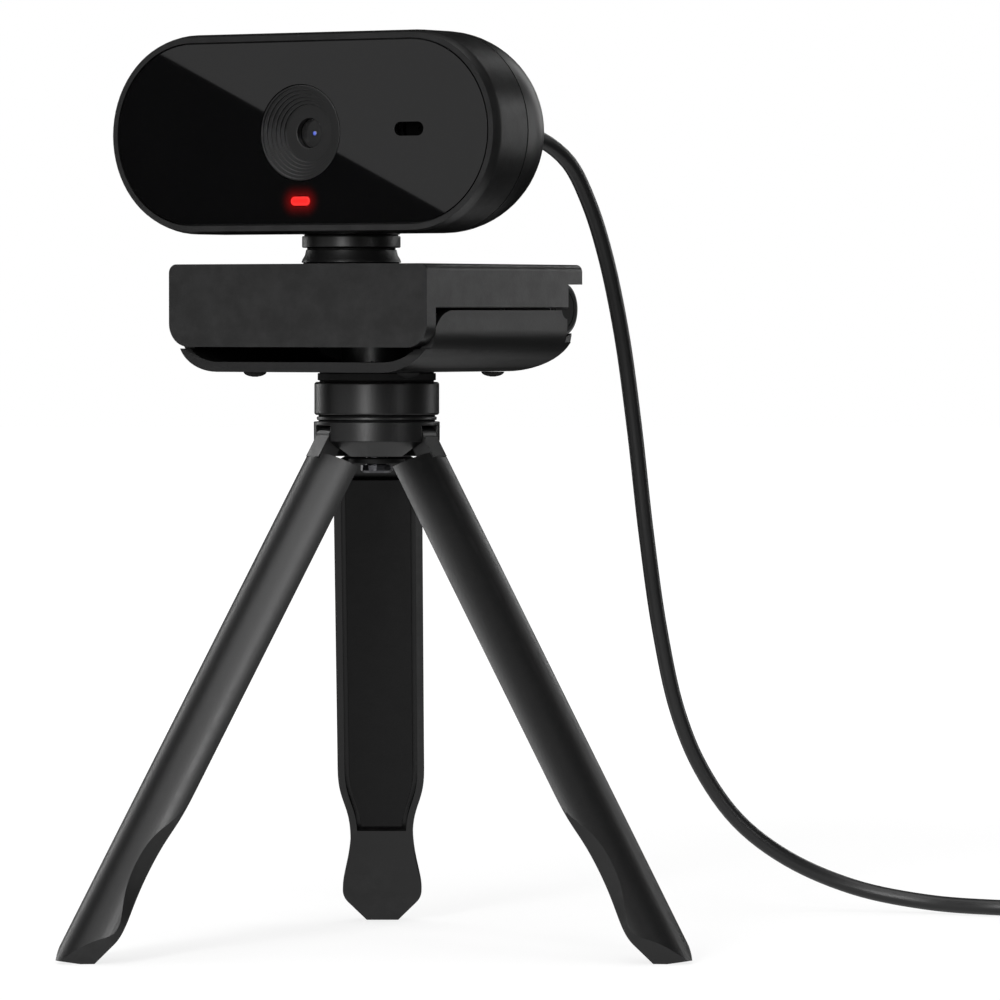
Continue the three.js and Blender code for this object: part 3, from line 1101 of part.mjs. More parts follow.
// The plug lies flat on the floor, in line with the cable's tail: +X is its mouth
function makePlug() {
  const [bodyLength, bodyWidth, bodyHeight] = PLUG_BODY_SIZE;
  const [shellLength, shellWidth, shellHeight] = PLUG_SHELL_SIZE;
  const plug = new THREE.Group();
  plug.position.copy(besideCoil(DEPARTURE_ANGLE, PLUG_FROM_TANGENT + SEAT_GAP, bodyHeight / 2));
  tripod.add(plug);

  const boot = turnedAcross([
    [0, 0], [PLUG_BOOT_RADIUS - 0.3, 0], [PLUG_BOOT_RADIUS, PLUG_BOOT_SUNK],
    [PLUG_BOOT_FLARE * PLUG_BOOT_RADIUS, PLUG_BOOT_LENGTH + PLUG_BOOT_SUNK],
    [0, PLUG_BOOT_LENGTH + PLUG_BOOT_SUNK],
  ]);
  const bodyEnd = PLUG_BOOT_LENGTH + bodyLength;
  const body = alongX(
    roundedRectangle(bodyWidth, bodyHeight, PLUG_BODY_RADIUS, PLUG_BODY_RADIUS),
    PLUG_BOOT_LENGTH, bodyEnd);
  piece(plug, 'plug_body', 'mattePlastic', join(boot, body));

  const shellStart = bodyEnd + SEAT_GAP;
  const shellEnd = shellStart + shellLength;
  const outer = roundedRectangle(shellWidth, shellHeight, 0.5, 0.5);
  const wall = PLUG_SHELL_WALL;
  const mouth = block(
    [shellStart + 1.5, -shellWidth / 2 + wall, -shellHeight / 2 + wall + PLUG_TONGUE_THICKNESS],
    [shellEnd + OVERRUN, shellWidth / 2 - wall, shellHeight / 2 - wall],
  );
  piece(plug, 'plug_shell', 'steel', cut(alongX(outer, shellStart, shellEnd), mouth));
}

// ---- The whole object --------------------------------------------------------------------

makeHub();
makeTripodHead();
for (const [side, azimuth] of Object.entries(LEG_AZIMUTHS)) makeLeg(side, azimuth);
makeClipArm();
makeJaw();
makeHinge();
makeNeck();
makeFrontHousing();
makeWindow();
makeRearShell();
makeLens();
makeBoard();
makeGland();
makeCable();
makeTie();
makePlug();

// The origin goes under the middle of the object's box, measured without what lies on the cable
const CABLE_NODES = /^(usb_|cable_|coil_|plug_)/;
model.updateMatrixWorld(true);
const box = new THREE.Box3();
model.traverse((node) => {
  if (node.isMesh && !CABLE_NODES.test(node.name)) box.expandByObject(node, true);
});
const middle = box.getCenter(new THREE.Vector3());
tripod.position.set(-middle.x, -middle.y, -box.min.z);

export default model;
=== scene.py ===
"""A pill-shaped webcam with a folding clip, screwed to a three-legged table tripod.

The packed model gives every place and size. Pieces are shaped in millimetres, in the frame
of the part that they belong to, and are then put in place in metres.
"""
import json
import math

import bmesh
import bpy
from bpy.props import FloatProperty, FloatVectorProperty, IntProperty, PointerProperty
from mathutils import Matrix, Vector

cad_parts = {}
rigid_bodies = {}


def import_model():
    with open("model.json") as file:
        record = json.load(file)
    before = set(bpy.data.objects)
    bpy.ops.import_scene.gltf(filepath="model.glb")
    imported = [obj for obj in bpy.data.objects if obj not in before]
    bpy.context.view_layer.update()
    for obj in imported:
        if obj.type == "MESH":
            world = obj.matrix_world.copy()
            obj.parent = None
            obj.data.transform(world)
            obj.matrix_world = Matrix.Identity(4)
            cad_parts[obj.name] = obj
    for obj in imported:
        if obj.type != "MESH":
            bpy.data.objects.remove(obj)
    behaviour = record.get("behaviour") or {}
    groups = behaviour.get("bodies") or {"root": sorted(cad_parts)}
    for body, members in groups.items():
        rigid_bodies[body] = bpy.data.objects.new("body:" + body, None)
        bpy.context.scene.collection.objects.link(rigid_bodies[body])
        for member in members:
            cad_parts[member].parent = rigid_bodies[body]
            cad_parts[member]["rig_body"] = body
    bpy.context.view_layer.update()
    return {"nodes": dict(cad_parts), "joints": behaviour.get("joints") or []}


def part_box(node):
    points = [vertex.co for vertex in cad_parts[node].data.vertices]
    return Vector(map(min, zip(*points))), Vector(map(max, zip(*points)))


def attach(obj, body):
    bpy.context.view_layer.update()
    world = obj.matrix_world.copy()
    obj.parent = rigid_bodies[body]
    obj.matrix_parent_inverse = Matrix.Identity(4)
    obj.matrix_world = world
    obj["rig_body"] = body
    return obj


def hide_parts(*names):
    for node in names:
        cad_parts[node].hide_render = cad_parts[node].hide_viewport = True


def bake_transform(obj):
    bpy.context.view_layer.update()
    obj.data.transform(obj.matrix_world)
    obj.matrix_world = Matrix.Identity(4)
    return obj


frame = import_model()

bl_info = {
    "name": "Webcam on a table tripod",
    "version": (1, 0, 0),
    "blender": (4, 5, 0),
    "location": "View3D > Sidebar > Webcam",
    "description": "Dresses the packed webcam and its tripod with finished pieces",
    "category": "Object",
}

MM = 0.001
SEAT_GAP = 0.3  # millimetres between a piece and the one that it sits on or in
OVERRUN = 1  # millimetres that a cutting tool runs past what it cuts
NODES = frame["nodes"]
JOINTS = {joint["name"]: joint for joint in frame["joints"]}


# ---- Places ------------------------------------------------------------------------------

def box_middle(node):
    """The middle of a CAD node's box, in metres."""
    low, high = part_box(node)
    return (low + high) / 2


def extent(node, place):
    """Lowest and highest corner of a CAD node, in the millimetres of a place."""
    back = place.inverted()
    points = [back @ vertex.co for vertex in NODES[node].data.vertices]
    low = Vector([min(point[axis] for point in points) for axis in range(3)])
    high = Vector([max(point[axis] for point in points) for axis in range(3)])
    return low, high


def spot(node, place):
    """Middle and size of a CAD node, in the millimetres of a place."""
    low, high = extent(node, place)
    return (low + high) / 2, high - low


COLLAR_MIDDLE = box_middle("platform_collar")
UNDER_TRIPOD = Vector((COLLAR_MIDDLE.x, COLLAR_MIDDLE.y, 0))
TRIPOD = Matrix.Translation(UNDER_TRIPOD) @ Matrix.Scale(MM, 4)
YAW = math.atan2(JOINTS["clip_fold"]["axis"][1], JOINTS["clip_fold"]["axis"][0])
WEBCAM = Matrix.Translation(UNDER_TRIPOD) @ Matrix.Rotation(YAW, 4, "Z") @ Matrix.Scale(MM, 4)

HOUSING_LOW, HOUSING_HIGH = extent("front_housing", WEBCAM)
HEAD_Z = (HOUSING_LOW.z + HOUSING_HIGH.z) / 2
HEAD = WEBCAM @ Matrix.Translation((0, HOUSING_LOW.y, HEAD_Z))


def leg_place(side):
    """A leg's own frame: X outwards, Y along its pin, -Z down the leg."""
    joint = JOINTS["fold_" + side]
    splay = math.radians(joint["range_deg"][1])
    across, up = Vector(joint["axis"]).normalized(), Vector((0, 0, 1))
    outwards = across.cross(up)
    x = math.cos(splay) * outwards + math.sin(splay) * up
    z = math.cos(splay) * up - math.sin(splay) * outwards
    turn = Matrix((x, across, z)).transposed().to_4x4()
    return Matrix.Translation(joint["pos_m"]) @ turn @ Matrix.Scale(MM, 4)


# ---- Outlines ----------------------------------------------------------------------------

def rounded(corners, steps):
    """An outline through corners (x, y, radius), each turned into an arc of its radius."""
    points = []
    for i, (x, y, radius) in enumerate(corners):
        corner = Vector((x, y))
        before = (Vector(corners[i - 1][:2]) - corner).normalized()
        after = (Vector(corners[(i + 1) % len(corners)][:2]) - corner).normalized()
        half = before.angle(after) / 2
        reach = radius / math.tan(half)
        centre = corner + (before + after).normalized() * (radius / math.sin(half))
        start = corner + before * reach - centre
        turn = start.angle_signed(corner + after * reach - centre)
        for step in range(steps + 1):
            angle = -turn * step / steps
            c, s = math.cos(angle), math.sin(angle)
            points.append(centre + Vector((start.x * c - start.y * s, start.x * s + start.y * c)))
    return points


def arc(centre, radii, start, end, steps):
    """Points of an ellipse's arc, between two angles in degrees."""
    angles = [math.radians(start + (end - start) * i / steps) for i in range(steps + 1)]
    return [Vector((centre[0] + radii[0] * math.cos(a), centre[1] + radii[1] * math.sin(a)))
            for a in angles]


def bezier(start, pull, push, end, steps=14):
    """Points of a cubic curve without its first one, so that curves can follow each other."""
    points = []
    for i in range(1, steps + 1):
        t = i / steps
        u = 1 - t
        points.append(Vector(start) * u ** 3 + Vector(pull) * 3 * u * u * t
                      + Vector(push) * 3 * u * t * t + Vector(end) * t ** 3)
    return points


def stadium(half, radius, steps=36, straight=4):
    """A pill's outline: two half rounds joined by straight sides."""
    points = arc((half, 0), (radius, radius), -90, 90, steps)
    points += [Vector((half - 2 * half * i / straight, radius)) for i in range(1, straight)]
    points += arc((-half, 0), (radius, radius), 90, 270, steps)
    points += [Vector((-half + 2 * half * i / straight, -radius)) for i in range(1, straight)]
    return points


def plate(left, right, low, high, radius, upper=None, steps=6):
    """A rectangle's outline with rounded corners. The upper ones may have their own radius."""
    upper = radius if upper is None else upper
    return rounded([(left, low, radius), (right, low, radius), (right, high, upper),
                    (left, high, upper)], steps)


def both_sides(inner, outer):
    """The stretches between two distances, to the left and to the right of the middle."""
    return [(-outer, -inner), (inner, outer)]


def slot_outline(size, at, spare=0.0):
    """A round-ended slot of a width and a height, about a point."""
    width, height = size[0] + 2 * spare, size[1] + 2 * spare
    return [point + Vector(at) for point in stadium((width - height) / 2, height / 2, 12, 1)]


# ---- Meshes ------------------------------------------------------------------------------

AXES = {
    "X": lambda a, b, along: (along, a, b),
    "Y": lambda a, b, along: (a, along, b),
    "Z": lambda a, b, along: (a, b, along),
}


def skinned(rings, loop=False):
    """A closed mesh over rings of points. A ring of one point is a tip; loop joins the ends."""
    mesh = bmesh.new()
    rows = [[mesh.verts.new(point) for point in ring] for ring in rings]
    pairs = list(zip(rows, rows[1:]))
    if loop:
        pairs.append((rows[-1], rows[0]))
    for near, far in pairs:
        count = max(len(near), len(far))
        for i in range(count):
            corners = [near[i % len(near)], near[(i + 1) % len(near)],
                       far[(i + 1) % len(far)], far[i % len(far)]]
            mesh.faces.new(list(dict.fromkeys(corners)))
    if not loop:
        for ring in (rows[0], rows[-1]):
            if len(ring) > 2:
                mesh.faces.new(ring)
    bmesh.ops.recalc_face_normals(mesh, faces=mesh.faces)
    return mesh


def spun(profile, axis="Z", at=(0, 0), steps=96, loop=False):
    """A profile of (radius, height) turned about an axis through a point."""
    rings = []
    for radius, height in profile:
        if radius < 1e-6:
            rings.append([AXES[axis](at[0], at[1], height)])
            continue
        turns = [2 * math.pi * i / steps for i in range(steps)]
        rings.append([AXES[axis](at[0] + radius * math.cos(a), at[1] + radius * math.sin(a), height)
                      for a in turns])
    return skinned(rings, loop)


def rod(radius, low, high, axis="Z", at=(0, 0), steps=48):
    """A plain round bar, which only cuts or joins other meshes."""
    return spun([(0, low), (radius, low), (radius, high), (0, high)], axis, at, steps)


def washer(bore, radius, low, high, at=(0, 0), steps=96):
    """A flat ring round an upright axis."""
    return spun([(bore, low), (radius, low), (radius, high), (bore, high)], "Z", at, steps,
                loop=True)


def pill(profile, half):
    """A profile of (radius, depth) carried round a pill's outline, with flat ends."""
    return skinned([[(point.x, depth, point.y) for point in stadium(half, radius)]
                    for radius, depth in profile])


def prism(outline, low, high, axis):
    """A flat outline pushed along an axis."""
    return skinned([[AXES[axis](point[0], point[1], along) for point in outline]
                    for along in (low, high)])


def block(low, high):
    """A box between two corners, which only cuts or joins other meshes."""
    outline = [(low[0], low[1]), (high[0], low[1]), (high[0], high[1]), (low[0], high[1])]
    return prism(outline, low[2], high[2], "Z")


def merged(*meshes):
    """Several meshes as loose parts of one."""
    whole = bmesh.new()
    for mesh in meshes:
        part = bpy.data.meshes.new("part")
        mesh.to_mesh(part)
        mesh.free()
        whole.from_mesh(part)
        bpy.data.meshes.remove(part)
    return whole


def turned(mesh, matrix):
    """A mesh moved by a matrix."""
    bmesh.ops.transform(mesh, matrix=matrix, verts=mesh.verts)
    return mesh


def as_object(name, mesh):
    """A mesh as an object of the scene."""
    data = bpy.data.meshes.new(name)
    mesh.to_mesh(data)
    mesh.free()
    made = bpy.data.objects.new(name, data)
    bpy.context.scene.collection.objects.link(made)
    return made


def settle(made):
    """Applies the modifiers of an object to its mesh."""
    graph = bpy.context.evaluated_depsgraph_get()
    data = bpy.data.meshes.new_from_object(made.evaluated_get(graph))
    made.modifiers.clear()
    old, made.data = made.data, data
    bpy.data.meshes.remove(old)


def discard(made):
    """Removes an object with its mesh."""
    data = made.data
    bpy.data.objects.remove(made)
    bpy.data.meshes.remove(data)


def taken(made):
    """The mesh of an object that is then removed, for use as a tool."""
    mesh = bmesh.new()
    mesh.from_mesh(made.data)
    discard(made)
    return mesh


def carve(made, operation, *tools):
    """Cuts tools out of an object, joins them to it or keeps what they share."""
    for tool in tools:
        cutter = as_object("cutter", tool)
        modifier = made.modifiers.new("carve", "BOOLEAN")
        modifier.operation = operation
        modifier.solver = "EXACT"
        modifier.object = cutter
        settle(made)
        discard(cutter)
    if not made.data.polygons:
        raise RuntimeError(f"nothing is left of {made.name}")


def flat_stretches(mesh, flat=0.99995):
    """The flat stretch that each face is part of: its area and its mean normal."""
    mesh.faces.index_update()
    stretch_of = {}
    for seed in mesh.faces:
        if seed in stretch_of:
            continue
        members, waiting = [], [seed]
        stretch_of[seed] = None
        while waiting:
            face = waiting.pop()
            members.append(face)
            for edge in face.edges:
                for near in edge.link_faces:
                    if near not in stretch_of and near.normal.dot(face.normal) > flat:
                        stretch_of[near] = None
                        waiting.append(near)
        total = sum((face.calc_area() * face.normal for face in members), Vector())
        stretch = (total.length, total.normalized().freeze(), seed.index)
        for face in members:
            stretch_of[face] = stretch
    return stretch_of


def even_normals(data, sharp=48, lead=5):
    """A normal for each corner. A flat stretch that is wide next to the others keeps its own."""
    mesh = bmesh.new()
    mesh.from_mesh(data)
    stretch_of = flat_stretches(mesh)
    limit = math.cos(math.radians(sharp))
    normals = []
    for face in mesh.faces:
        own = stretch_of[face]
        for loop in face.loops:
            meeting = {stretch_of[near] for near in loop.vert.link_faces}
            meeting = sorted((s for s in meeting if s[1].dot(own[1]) > limit and s[0] > 0),
                             key=lambda stretch: stretch[0])
            if not meeting:  # a sliver with no direction of its own
                normals.append(loop.vert.normal.copy())
                continue
            widest = meeting[-1]
            rest = sum(stretch[0] for stretch in meeting[:-1])
            if widest[0] > lead * rest:
                normals.append(widest[1].copy())
            else:
                total = sum((stretch[0] * stretch[1] for stretch in meeting), Vector())
                normals.append(total.normalized())
    mesh.free()
    return normals


def soften(made, width, segments, angle, weld=1e-4):
    """Welds a mesh, and rounds every edge that is sharper than an angle."""
    made.data.validate()
    mesh = bmesh.new()
    mesh.from_mesh(made.data)
    bmesh.ops.remove_doubles(mesh, verts=mesh.verts, dist=weld)
    bmesh.ops.dissolve_degenerate(mesh, edges=mesh.edges, dist=weld)
    mesh.to_mesh(made.data)
    mesh.free()
    if width > 0:
        bevel = made.modifiers.new("edge", "BEVEL")
        bevel.width = width
        bevel.segments = segments
        bevel.limit_method = "ANGLE"
        bevel.angle_limit = math.radians(angle)
        bevel.miter_outer = "MITER_ARC"
        bevel.use_clamp_overlap = True
        settle(made)


def carried_by(name):
    """The CAD body that a CAD node rides on."""
    return NODES[name]["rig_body"]


def put(made, place, slot, stands_for=(), edge=0, segments=3, angle=32, body=None, material=None):
    """Rounds a mesh's edges and puts it in place, on its body, with its finish."""
    soften(made, edge, segments, angle)
    turn = place.to_3x3().normalized()
    normals = [turn @ normal for normal in even_normals(made.data)]
    made.data.transform(place)
    made.data.shade_smooth()
    corners = made.data.attributes.new("custom_normal", "FLOAT_VECTOR", "CORNER")
    corners.data.foreach_set("vector", [value for normal in normals for value in normal])
    made.data.name = made.name
    made.data.materials.clear()
    made.data.materials.append(material or finish_of(slot))
    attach(made, body or carried_by(stands_for[0]))
    if stands_for:
        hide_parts(*stands_for)
    return made


# ---- Shared effects ----------------------------------------------------------------------

DARK = (0.02, 0.02, 0.02, 1)
WHITE = (1, 1, 1, 1)
DUST = (0.28, 0.27, 0.26, 1)


def feed(tree, value, socket):
    """Links a socket to another, or sets it to a plain value."""
    if isinstance(value, bpy.types.NodeSocket):
        tree.links.new(value, socket)
    else:
        socket.default_value = value


def node(tree, kind, values=None, **settings):
    """A shader node with its settings, and what each of its inputs is fed with."""
    made = tree.nodes.new("ShaderNode" + kind)
    for name, value in settings.items():
        setattr(made, name, value)
    for name, value in (values or {}).items():
        feed(tree, value, made.inputs[name])
    return made


def maths(tree, operation, *values, **settings):
    """The result of one operation on numbers."""
    made = node(tree, "Math", dict(enumerate(values)), operation=operation, **settings)
    return made.outputs[0]


def vectors(tree, operation, result, *values):
    """The named result of one operation on vectors."""
    made = node(tree, "VectorMath", dict(enumerate(values)), operation=operation)
    return made.outputs[result]


def spread(tree, value, start, end, low=0.0, high=1.0, **settings):
    """A value carried from one range to another."""
    made = node(tree, "MapRange", {"Value": value, "From Min": start, "From Max": end,
                                   "To Min": low, "To Max": high}, **settings)
    return made.outputs["Result"]


def mixed(tree, share, base, cover):
    """A colour with a share of another over it."""
    return node(tree, "Mix", {0: share, 6: base, 7: cover}, data_type="RGBA").outputs[2]


def here(tree):
    """Where a point of a piece lies."""
    return node(tree, "TexCoord").outputs["Object"]


def noise(tree, scale, detail, roughness=0.5, distortion=0.0, at=None):
    """Noise that is fixed to a piece."""
    made = node(tree, "TexNoise", {
        "Vector": at or here(tree), "Scale": scale, "Detail": detail, "Roughness": roughness,
        "Distortion": distortion})
    return made.outputs["Fac"]


def relief(tree, height, strength, depth):
    """The normals of a height, with its depth in millimetres."""
    values = {"Height": height, "Strength": strength, "Distance": depth * MM}
    return node(tree, "Bump", values).outputs["Normal"]


def ramp(tree, value, stops):
    """A colour read off a ramp of places and colours, from 0 to 1."""
    made = node(tree, "ValToRGB", {"Fac": value})
    elements = made.color_ramp.elements
    elements[0].color, elements[1].color = stops[0][1], stops[-1][1]
    for at, shade in stops[1:-1]:
        elements.new(at).color = shade
    return made.outputs["Color"]


def effect(name, inputs, outputs):
    """An empty shader group, the sockets given to it, and a way to fill its outputs."""
    group = bpy.data.node_groups.new(name, "ShaderNodeTree")
    for way, labels in (("INPUT", inputs), ("OUTPUT", outputs)):
        for label in labels:
            kind = "Color" if "Color" in label else "Float"
            socket = group.interface.new_socket(label, in_out=way, socket_type="NodeSocket" + kind)
            if way == "INPUT":
                socket.default_value = inputs[label]
    given = group.nodes.new("NodeGroupInput").outputs
    ends = group.nodes.new("NodeGroupOutput").inputs

    def fill(*results):
        for result, end in zip(results, ends):
            group.links.new(result, end)
        return group
    return group, given, fill


def moulded_grain():
    """Fine spark-eroded texture: a height, and small changes of colour and roughness."""
    group, given, fill = effect(
        "moulded_grain",
        {"Color": DARK, "Roughness": 0.5, "Grains": 3200.0, "Tint": 0.1, "Spread": 0.06},
        ("Color", "Roughness", "Height"))
    fine = noise(group, given["Grains"], 3.0, 0.6)
    cells = node(group, "TexVoronoi", {
        "Vector": here(group), "Scale": given["Grains"], "Randomness": 1.0}, feature="SMOOTH_F1")
    tint = spread(group, noise(group, 70.0, 4.0, 0.55), 0.3, 0.7,
                  maths(group, "SUBTRACT", 1.0, given["Tint"]),
                  maths(group, "ADD", 1.0, given["Tint"]))
    shade = node(group, "VectorMath", {0: given["Color"], "Scale": tint}, operation="SCALE")
    rough = maths(group, "MULTIPLY_ADD", maths(group, "SUBTRACT", fine, 0.5), given["Spread"],
                  given["Roughness"], use_clamp=True)
    return fill(shade.outputs[0], rough,
                maths(group, "MULTIPLY_ADD", fine, 0.6, cells.outputs["Distance"]))


def edge_wear():
    """Edges a little lighter and smoother: rubbed by handling, with a painted highlight along them.
    """
    group, given, fill = effect(
        "edge_wear",
        {"Color": DARK, "Worn Color": (0.1, 0.1, 0.1, 1), "Roughness": 0.5, "Amount": 0.3},
        ("Color", "Roughness"))
    # Convex edges are lightened: partly rubbed wear, partly a painted edge highlight.
    edge = spread(group, node(group, "NewGeometry").outputs["Pointiness"], 0.53, 0.62)
    broken = spread(group, noise(group, 260.0, 5.0, 0.65), 0.38, 0.66)
    share = maths(group, "MULTIPLY", maths(group, "MULTIPLY", edge, broken), given["Amount"])
    return fill(mixed(group, share, given["Color"], given["Worn Color"]),
                maths(group, "MULTIPLY_ADD", share, -0.25, given["Roughness"], use_clamp=True))


def settled_dust():
    """A thin veil of dust on what faces up."""
    group, given, fill = effect(
        "settled_dust", {"Color": DARK, "Roughness": 0.5, "Amount": 0.05},
        ("Color", "Roughness"))
    split = node(group, "SeparateXYZ", {0: node(group, "NewGeometry").outputs["Normal"]})
    upward = spread(group, split.outputs["Z"], 0.2, 1.0)
    thin = spread(group, noise(group, 900.0, 6.0, 0.75), 0.45, 0.75)
    share = maths(group, "MULTIPLY", maths(group, "MULTIPLY", upward, thin), given["Amount"])
    return fill(mixed(group, share, given["Color"], DUST),
                maths(group, "ADD", share, given["Roughness"], use_clamp=True))


def smudges():
    """Faint wiped prints on a glossy face: they only change the roughness."""
    group, given, fill = effect("smudges", {"Roughness": 0.05, "Amount": 0.06}, ("Roughness",))
    where = spread(group, noise(group, 55.0, 3.0, distortion=1.4), 0.5, 0.72)
    both = maths(group, "MULTIPLY", where, noise(group, 420.0, 6.0, 0.7))
    return fill(maths(group, "MULTIPLY_ADD", both, given["Amount"], given["Roughness"],
                      use_clamp=True))


def metal_lines():
    """Fine turned or rolled lines of a metal: a height and a roughness."""
    group, given, fill = effect(
        "metal_lines", {"Roughness": 0.3, "Spread": 0.15}, ("Roughness", "Height"))
    drawn = node(group, "Mapping", {"Vector": here(group), "Scale": (400.0, 400.0, 9000.0)})
    lines = noise(group, 1.0, 4.0, 0.7, at=drawn.outputs[0])
    return fill(maths(group, "MULTIPLY_ADD", lines, given["Spread"], given["Roughness"],
                      use_clamp=True), lines)


def lamp_distance():
    """How far a point of the face is from the middle line of the status light."""
    middle, size = spot("light_pipe", HEAD)
    half = (size.x - size.z) / 2 * MM
    centre = HEAD @ Vector((middle.x, 0, middle.z))
    turn = HEAD.to_3x3()
    group, _, fill = effect("lamp_distance", {}, ("Distance",))
    away = vectors(group, "SUBTRACT", "Vector", here(group), centre)
    along, across = (vectors(group, "DOT_PRODUCT", "Value", away, turn.col[axis].normalized())
                     for axis in (0, 2))
    past = maths(group, "SUBTRACT", maths(group, "ABSOLUTE", along), half)
    beyond = node(group, "CombineXYZ", {"X": maths(group, "MAXIMUM", past, 0), "Y": across})
    return fill(vectors(group, "LENGTH", "Value", beyond.outputs[0]))


def placed(tree, build, values=None):
    """The outputs of a shared group with its own values. The group is built once."""
    group = bpy.data.node_groups.get(build.__name__) or build()
    return node(tree, "Group", values, node_tree=group).outputs


# ---- Finishes ----------------------------------------------------------------------------
# Each finish gives what the inputs of its Principled shader are fed with.

def opaque(color):
    """A colour setting as the four numbers that a colour socket holds."""
    return (*color[:3], 1.0)


def moulded(tree, color, roughness, grains, specular, bump, wear, dust, tint):
    """Moulded plastic or rubber: grain, rubbed edges with a painted highlight, a trace of dust,
    dull at a glance.
    """
    texture = placed(tree, moulded_grain, {
        "Color": opaque(color), "Roughness": roughness, "Grains": grains, "Tint": tint})
    # Lighter edges: rubbed wear and a painted edge highlight.
    worn_and_lit = placed(tree, edge_wear, {
        "Color": texture["Color"], "Roughness": texture["Roughness"],
        "Worn Color": opaque([3.2 * part + 0.01 for part in color]), "Amount": wear})
    veil = placed(tree, settled_dust, {
        "Color": worn_and_lit["Color"], "Roughness": worn_and_lit["Roughness"], "Amount": dust})
    facing = node(tree, "LayerWeight", {"Blend": 0.5}).outputs["Facing"]
    return {"Base Color": veil["Color"], "Roughness": veil["Roughness"],
            "Specular IOR Level": spread(tree, facing, 0.4, 0.85, specular, 0.1 * specular),
            "Normal": relief(tree, texture["Height"], bump, 0.02)}


def metal(tree, color, roughness, variation):
    """A turned or rolled metal with fine lines."""
    lines = placed(tree, metal_lines, {"Roughness": roughness, "Spread": variation})
    # Lighter edges: rubbed wear and a painted edge highlight.
    worn_and_lit = placed(tree, edge_wear, {
        "Color": opaque(color), "Worn Color": opaque([min(1.0, 1.5 * c) for c in color]),
        "Roughness": lines["Roughness"]})
    return {"Metallic": 1.0, "Base Color": worn_and_lit["Color"], "Roughness": worn_and_lit["Roughness"],
            "Normal": relief(tree, lines["Height"], 0.25, 0.01)}


def gloss_plastic(tree, color, glow_radius):
    """The glossy window over the face, with a painted red glow where the status light shines into
    it.
    """
    texture = placed(tree, moulded_grain, {"Color": opaque(color), "Grains": 900.0, "Tint": 0.05})
    prints = placed(tree, smudges, {"Roughness": 0.015, "Amount": 0.012})
    # The red glow on the window is painted light: an emission that fades with distance from the
    # status light.
    near = spread(tree, placed(tree, lamp_distance)["Distance"], glow_radius, 0.0)
    glow = mixed(tree, maths(tree, "POWER", near, 2.6), (0, 0, 0, 1), (0.27, 0.003, 0.003, 1))
    return {"Base Color": texture["Color"], "Roughness": prints["Roughness"],
            "Emission Color": glow, "Emission Strength": 1.0}


def red_lens(tree, color):
    """The lit end of the light pipe: deep red in its middle, brighter towards its rim."""
    texture = placed(tree, moulded_grain, {"Color": opaque(color), "Grains": 1500.0})
    near = spread(tree, placed(tree, lamp_distance)["Distance"], 0.85 * MM, 0.0)
    lit = ramp(tree, near, ((0, (0.3, 0.002, 0.002, 1)), (0.22, (0.95, 0.022, 0.02, 1)),
                            (1, (0.72, 0.004, 0.004, 1))))
    return {"Base Color": texture["Color"], "Roughness": 0.35, "Specular IOR Level": 0.2,
            "Emission Color": lit, "Emission Strength": 1.0}


def glass(tree):
    """The lens: dark glass in a grey mount, with a painted blue glint on the pupil."""
    middle, size = spot("lens_glass", HEAD)
    pupil = HEAD @ Vector((middle.x, middle.y - size.y / 2, middle.z))
    out = spread(tree, vectors(tree, "DISTANCE", "Value", here(tree), pupil), 0, 1.0 * MM)
    mount = (0.0085, 0.0085, 0.0085, 1)
    # The blue at the pupil is a painted glint: a reflection put into the base colour round the
    # pupil.
    rings = ramp(tree, out, (
        (0, (0.09, 0.13, 0.55, 1)), (0.3, (0.06, 0.09, 0.4, 1)), (0.44, (0.003, 0.003, 0.006, 1)),
        (0.6, (0.003, 0.003, 0.004, 1)), (0.7, mount), (1, mount)))
    prints = placed(tree, smudges, {"Roughness": 0.12, "Amount": 0.04})
    return {"Base Color": rings, "Roughness": prints["Roughness"], "Specular IOR Level": 0.4,
            "IOR": 1.5}


def circuit_board(tree):
    """Green solder mask with copper lines under it and tinned pads."""
    lines = node(tree, "TexBrick", {
        "Vector": here(tree), "Scale": 240.0, "Mortar Size": 0.035,
        "Color1": (0.006, 0.05, 0.025, 1), "Color2": (0.008, 0.062, 0.03, 1),
        "Mortar": (0.03, 0.13, 0.05, 1)})
    pads = node(tree, "TexVoronoi", {"Vector": here(tree), "Scale": 420.0, "Randomness": 0.35})
    tinned = spread(tree, pads.outputs["Distance"], 0.24, 0.2)
    return {"Coat Weight": 0.3, "Metallic": tinned,
            "Base Color": mixed(tree, tinned, lines.outputs["Color"], (0.55, 0.55, 0.52, 1)),
            "Roughness": spread(tree, tinned, 0, 1, 0.42, 0.2),
            "Normal": relief(tree, lines.outputs["Fac"], 0.4, 0.03)}


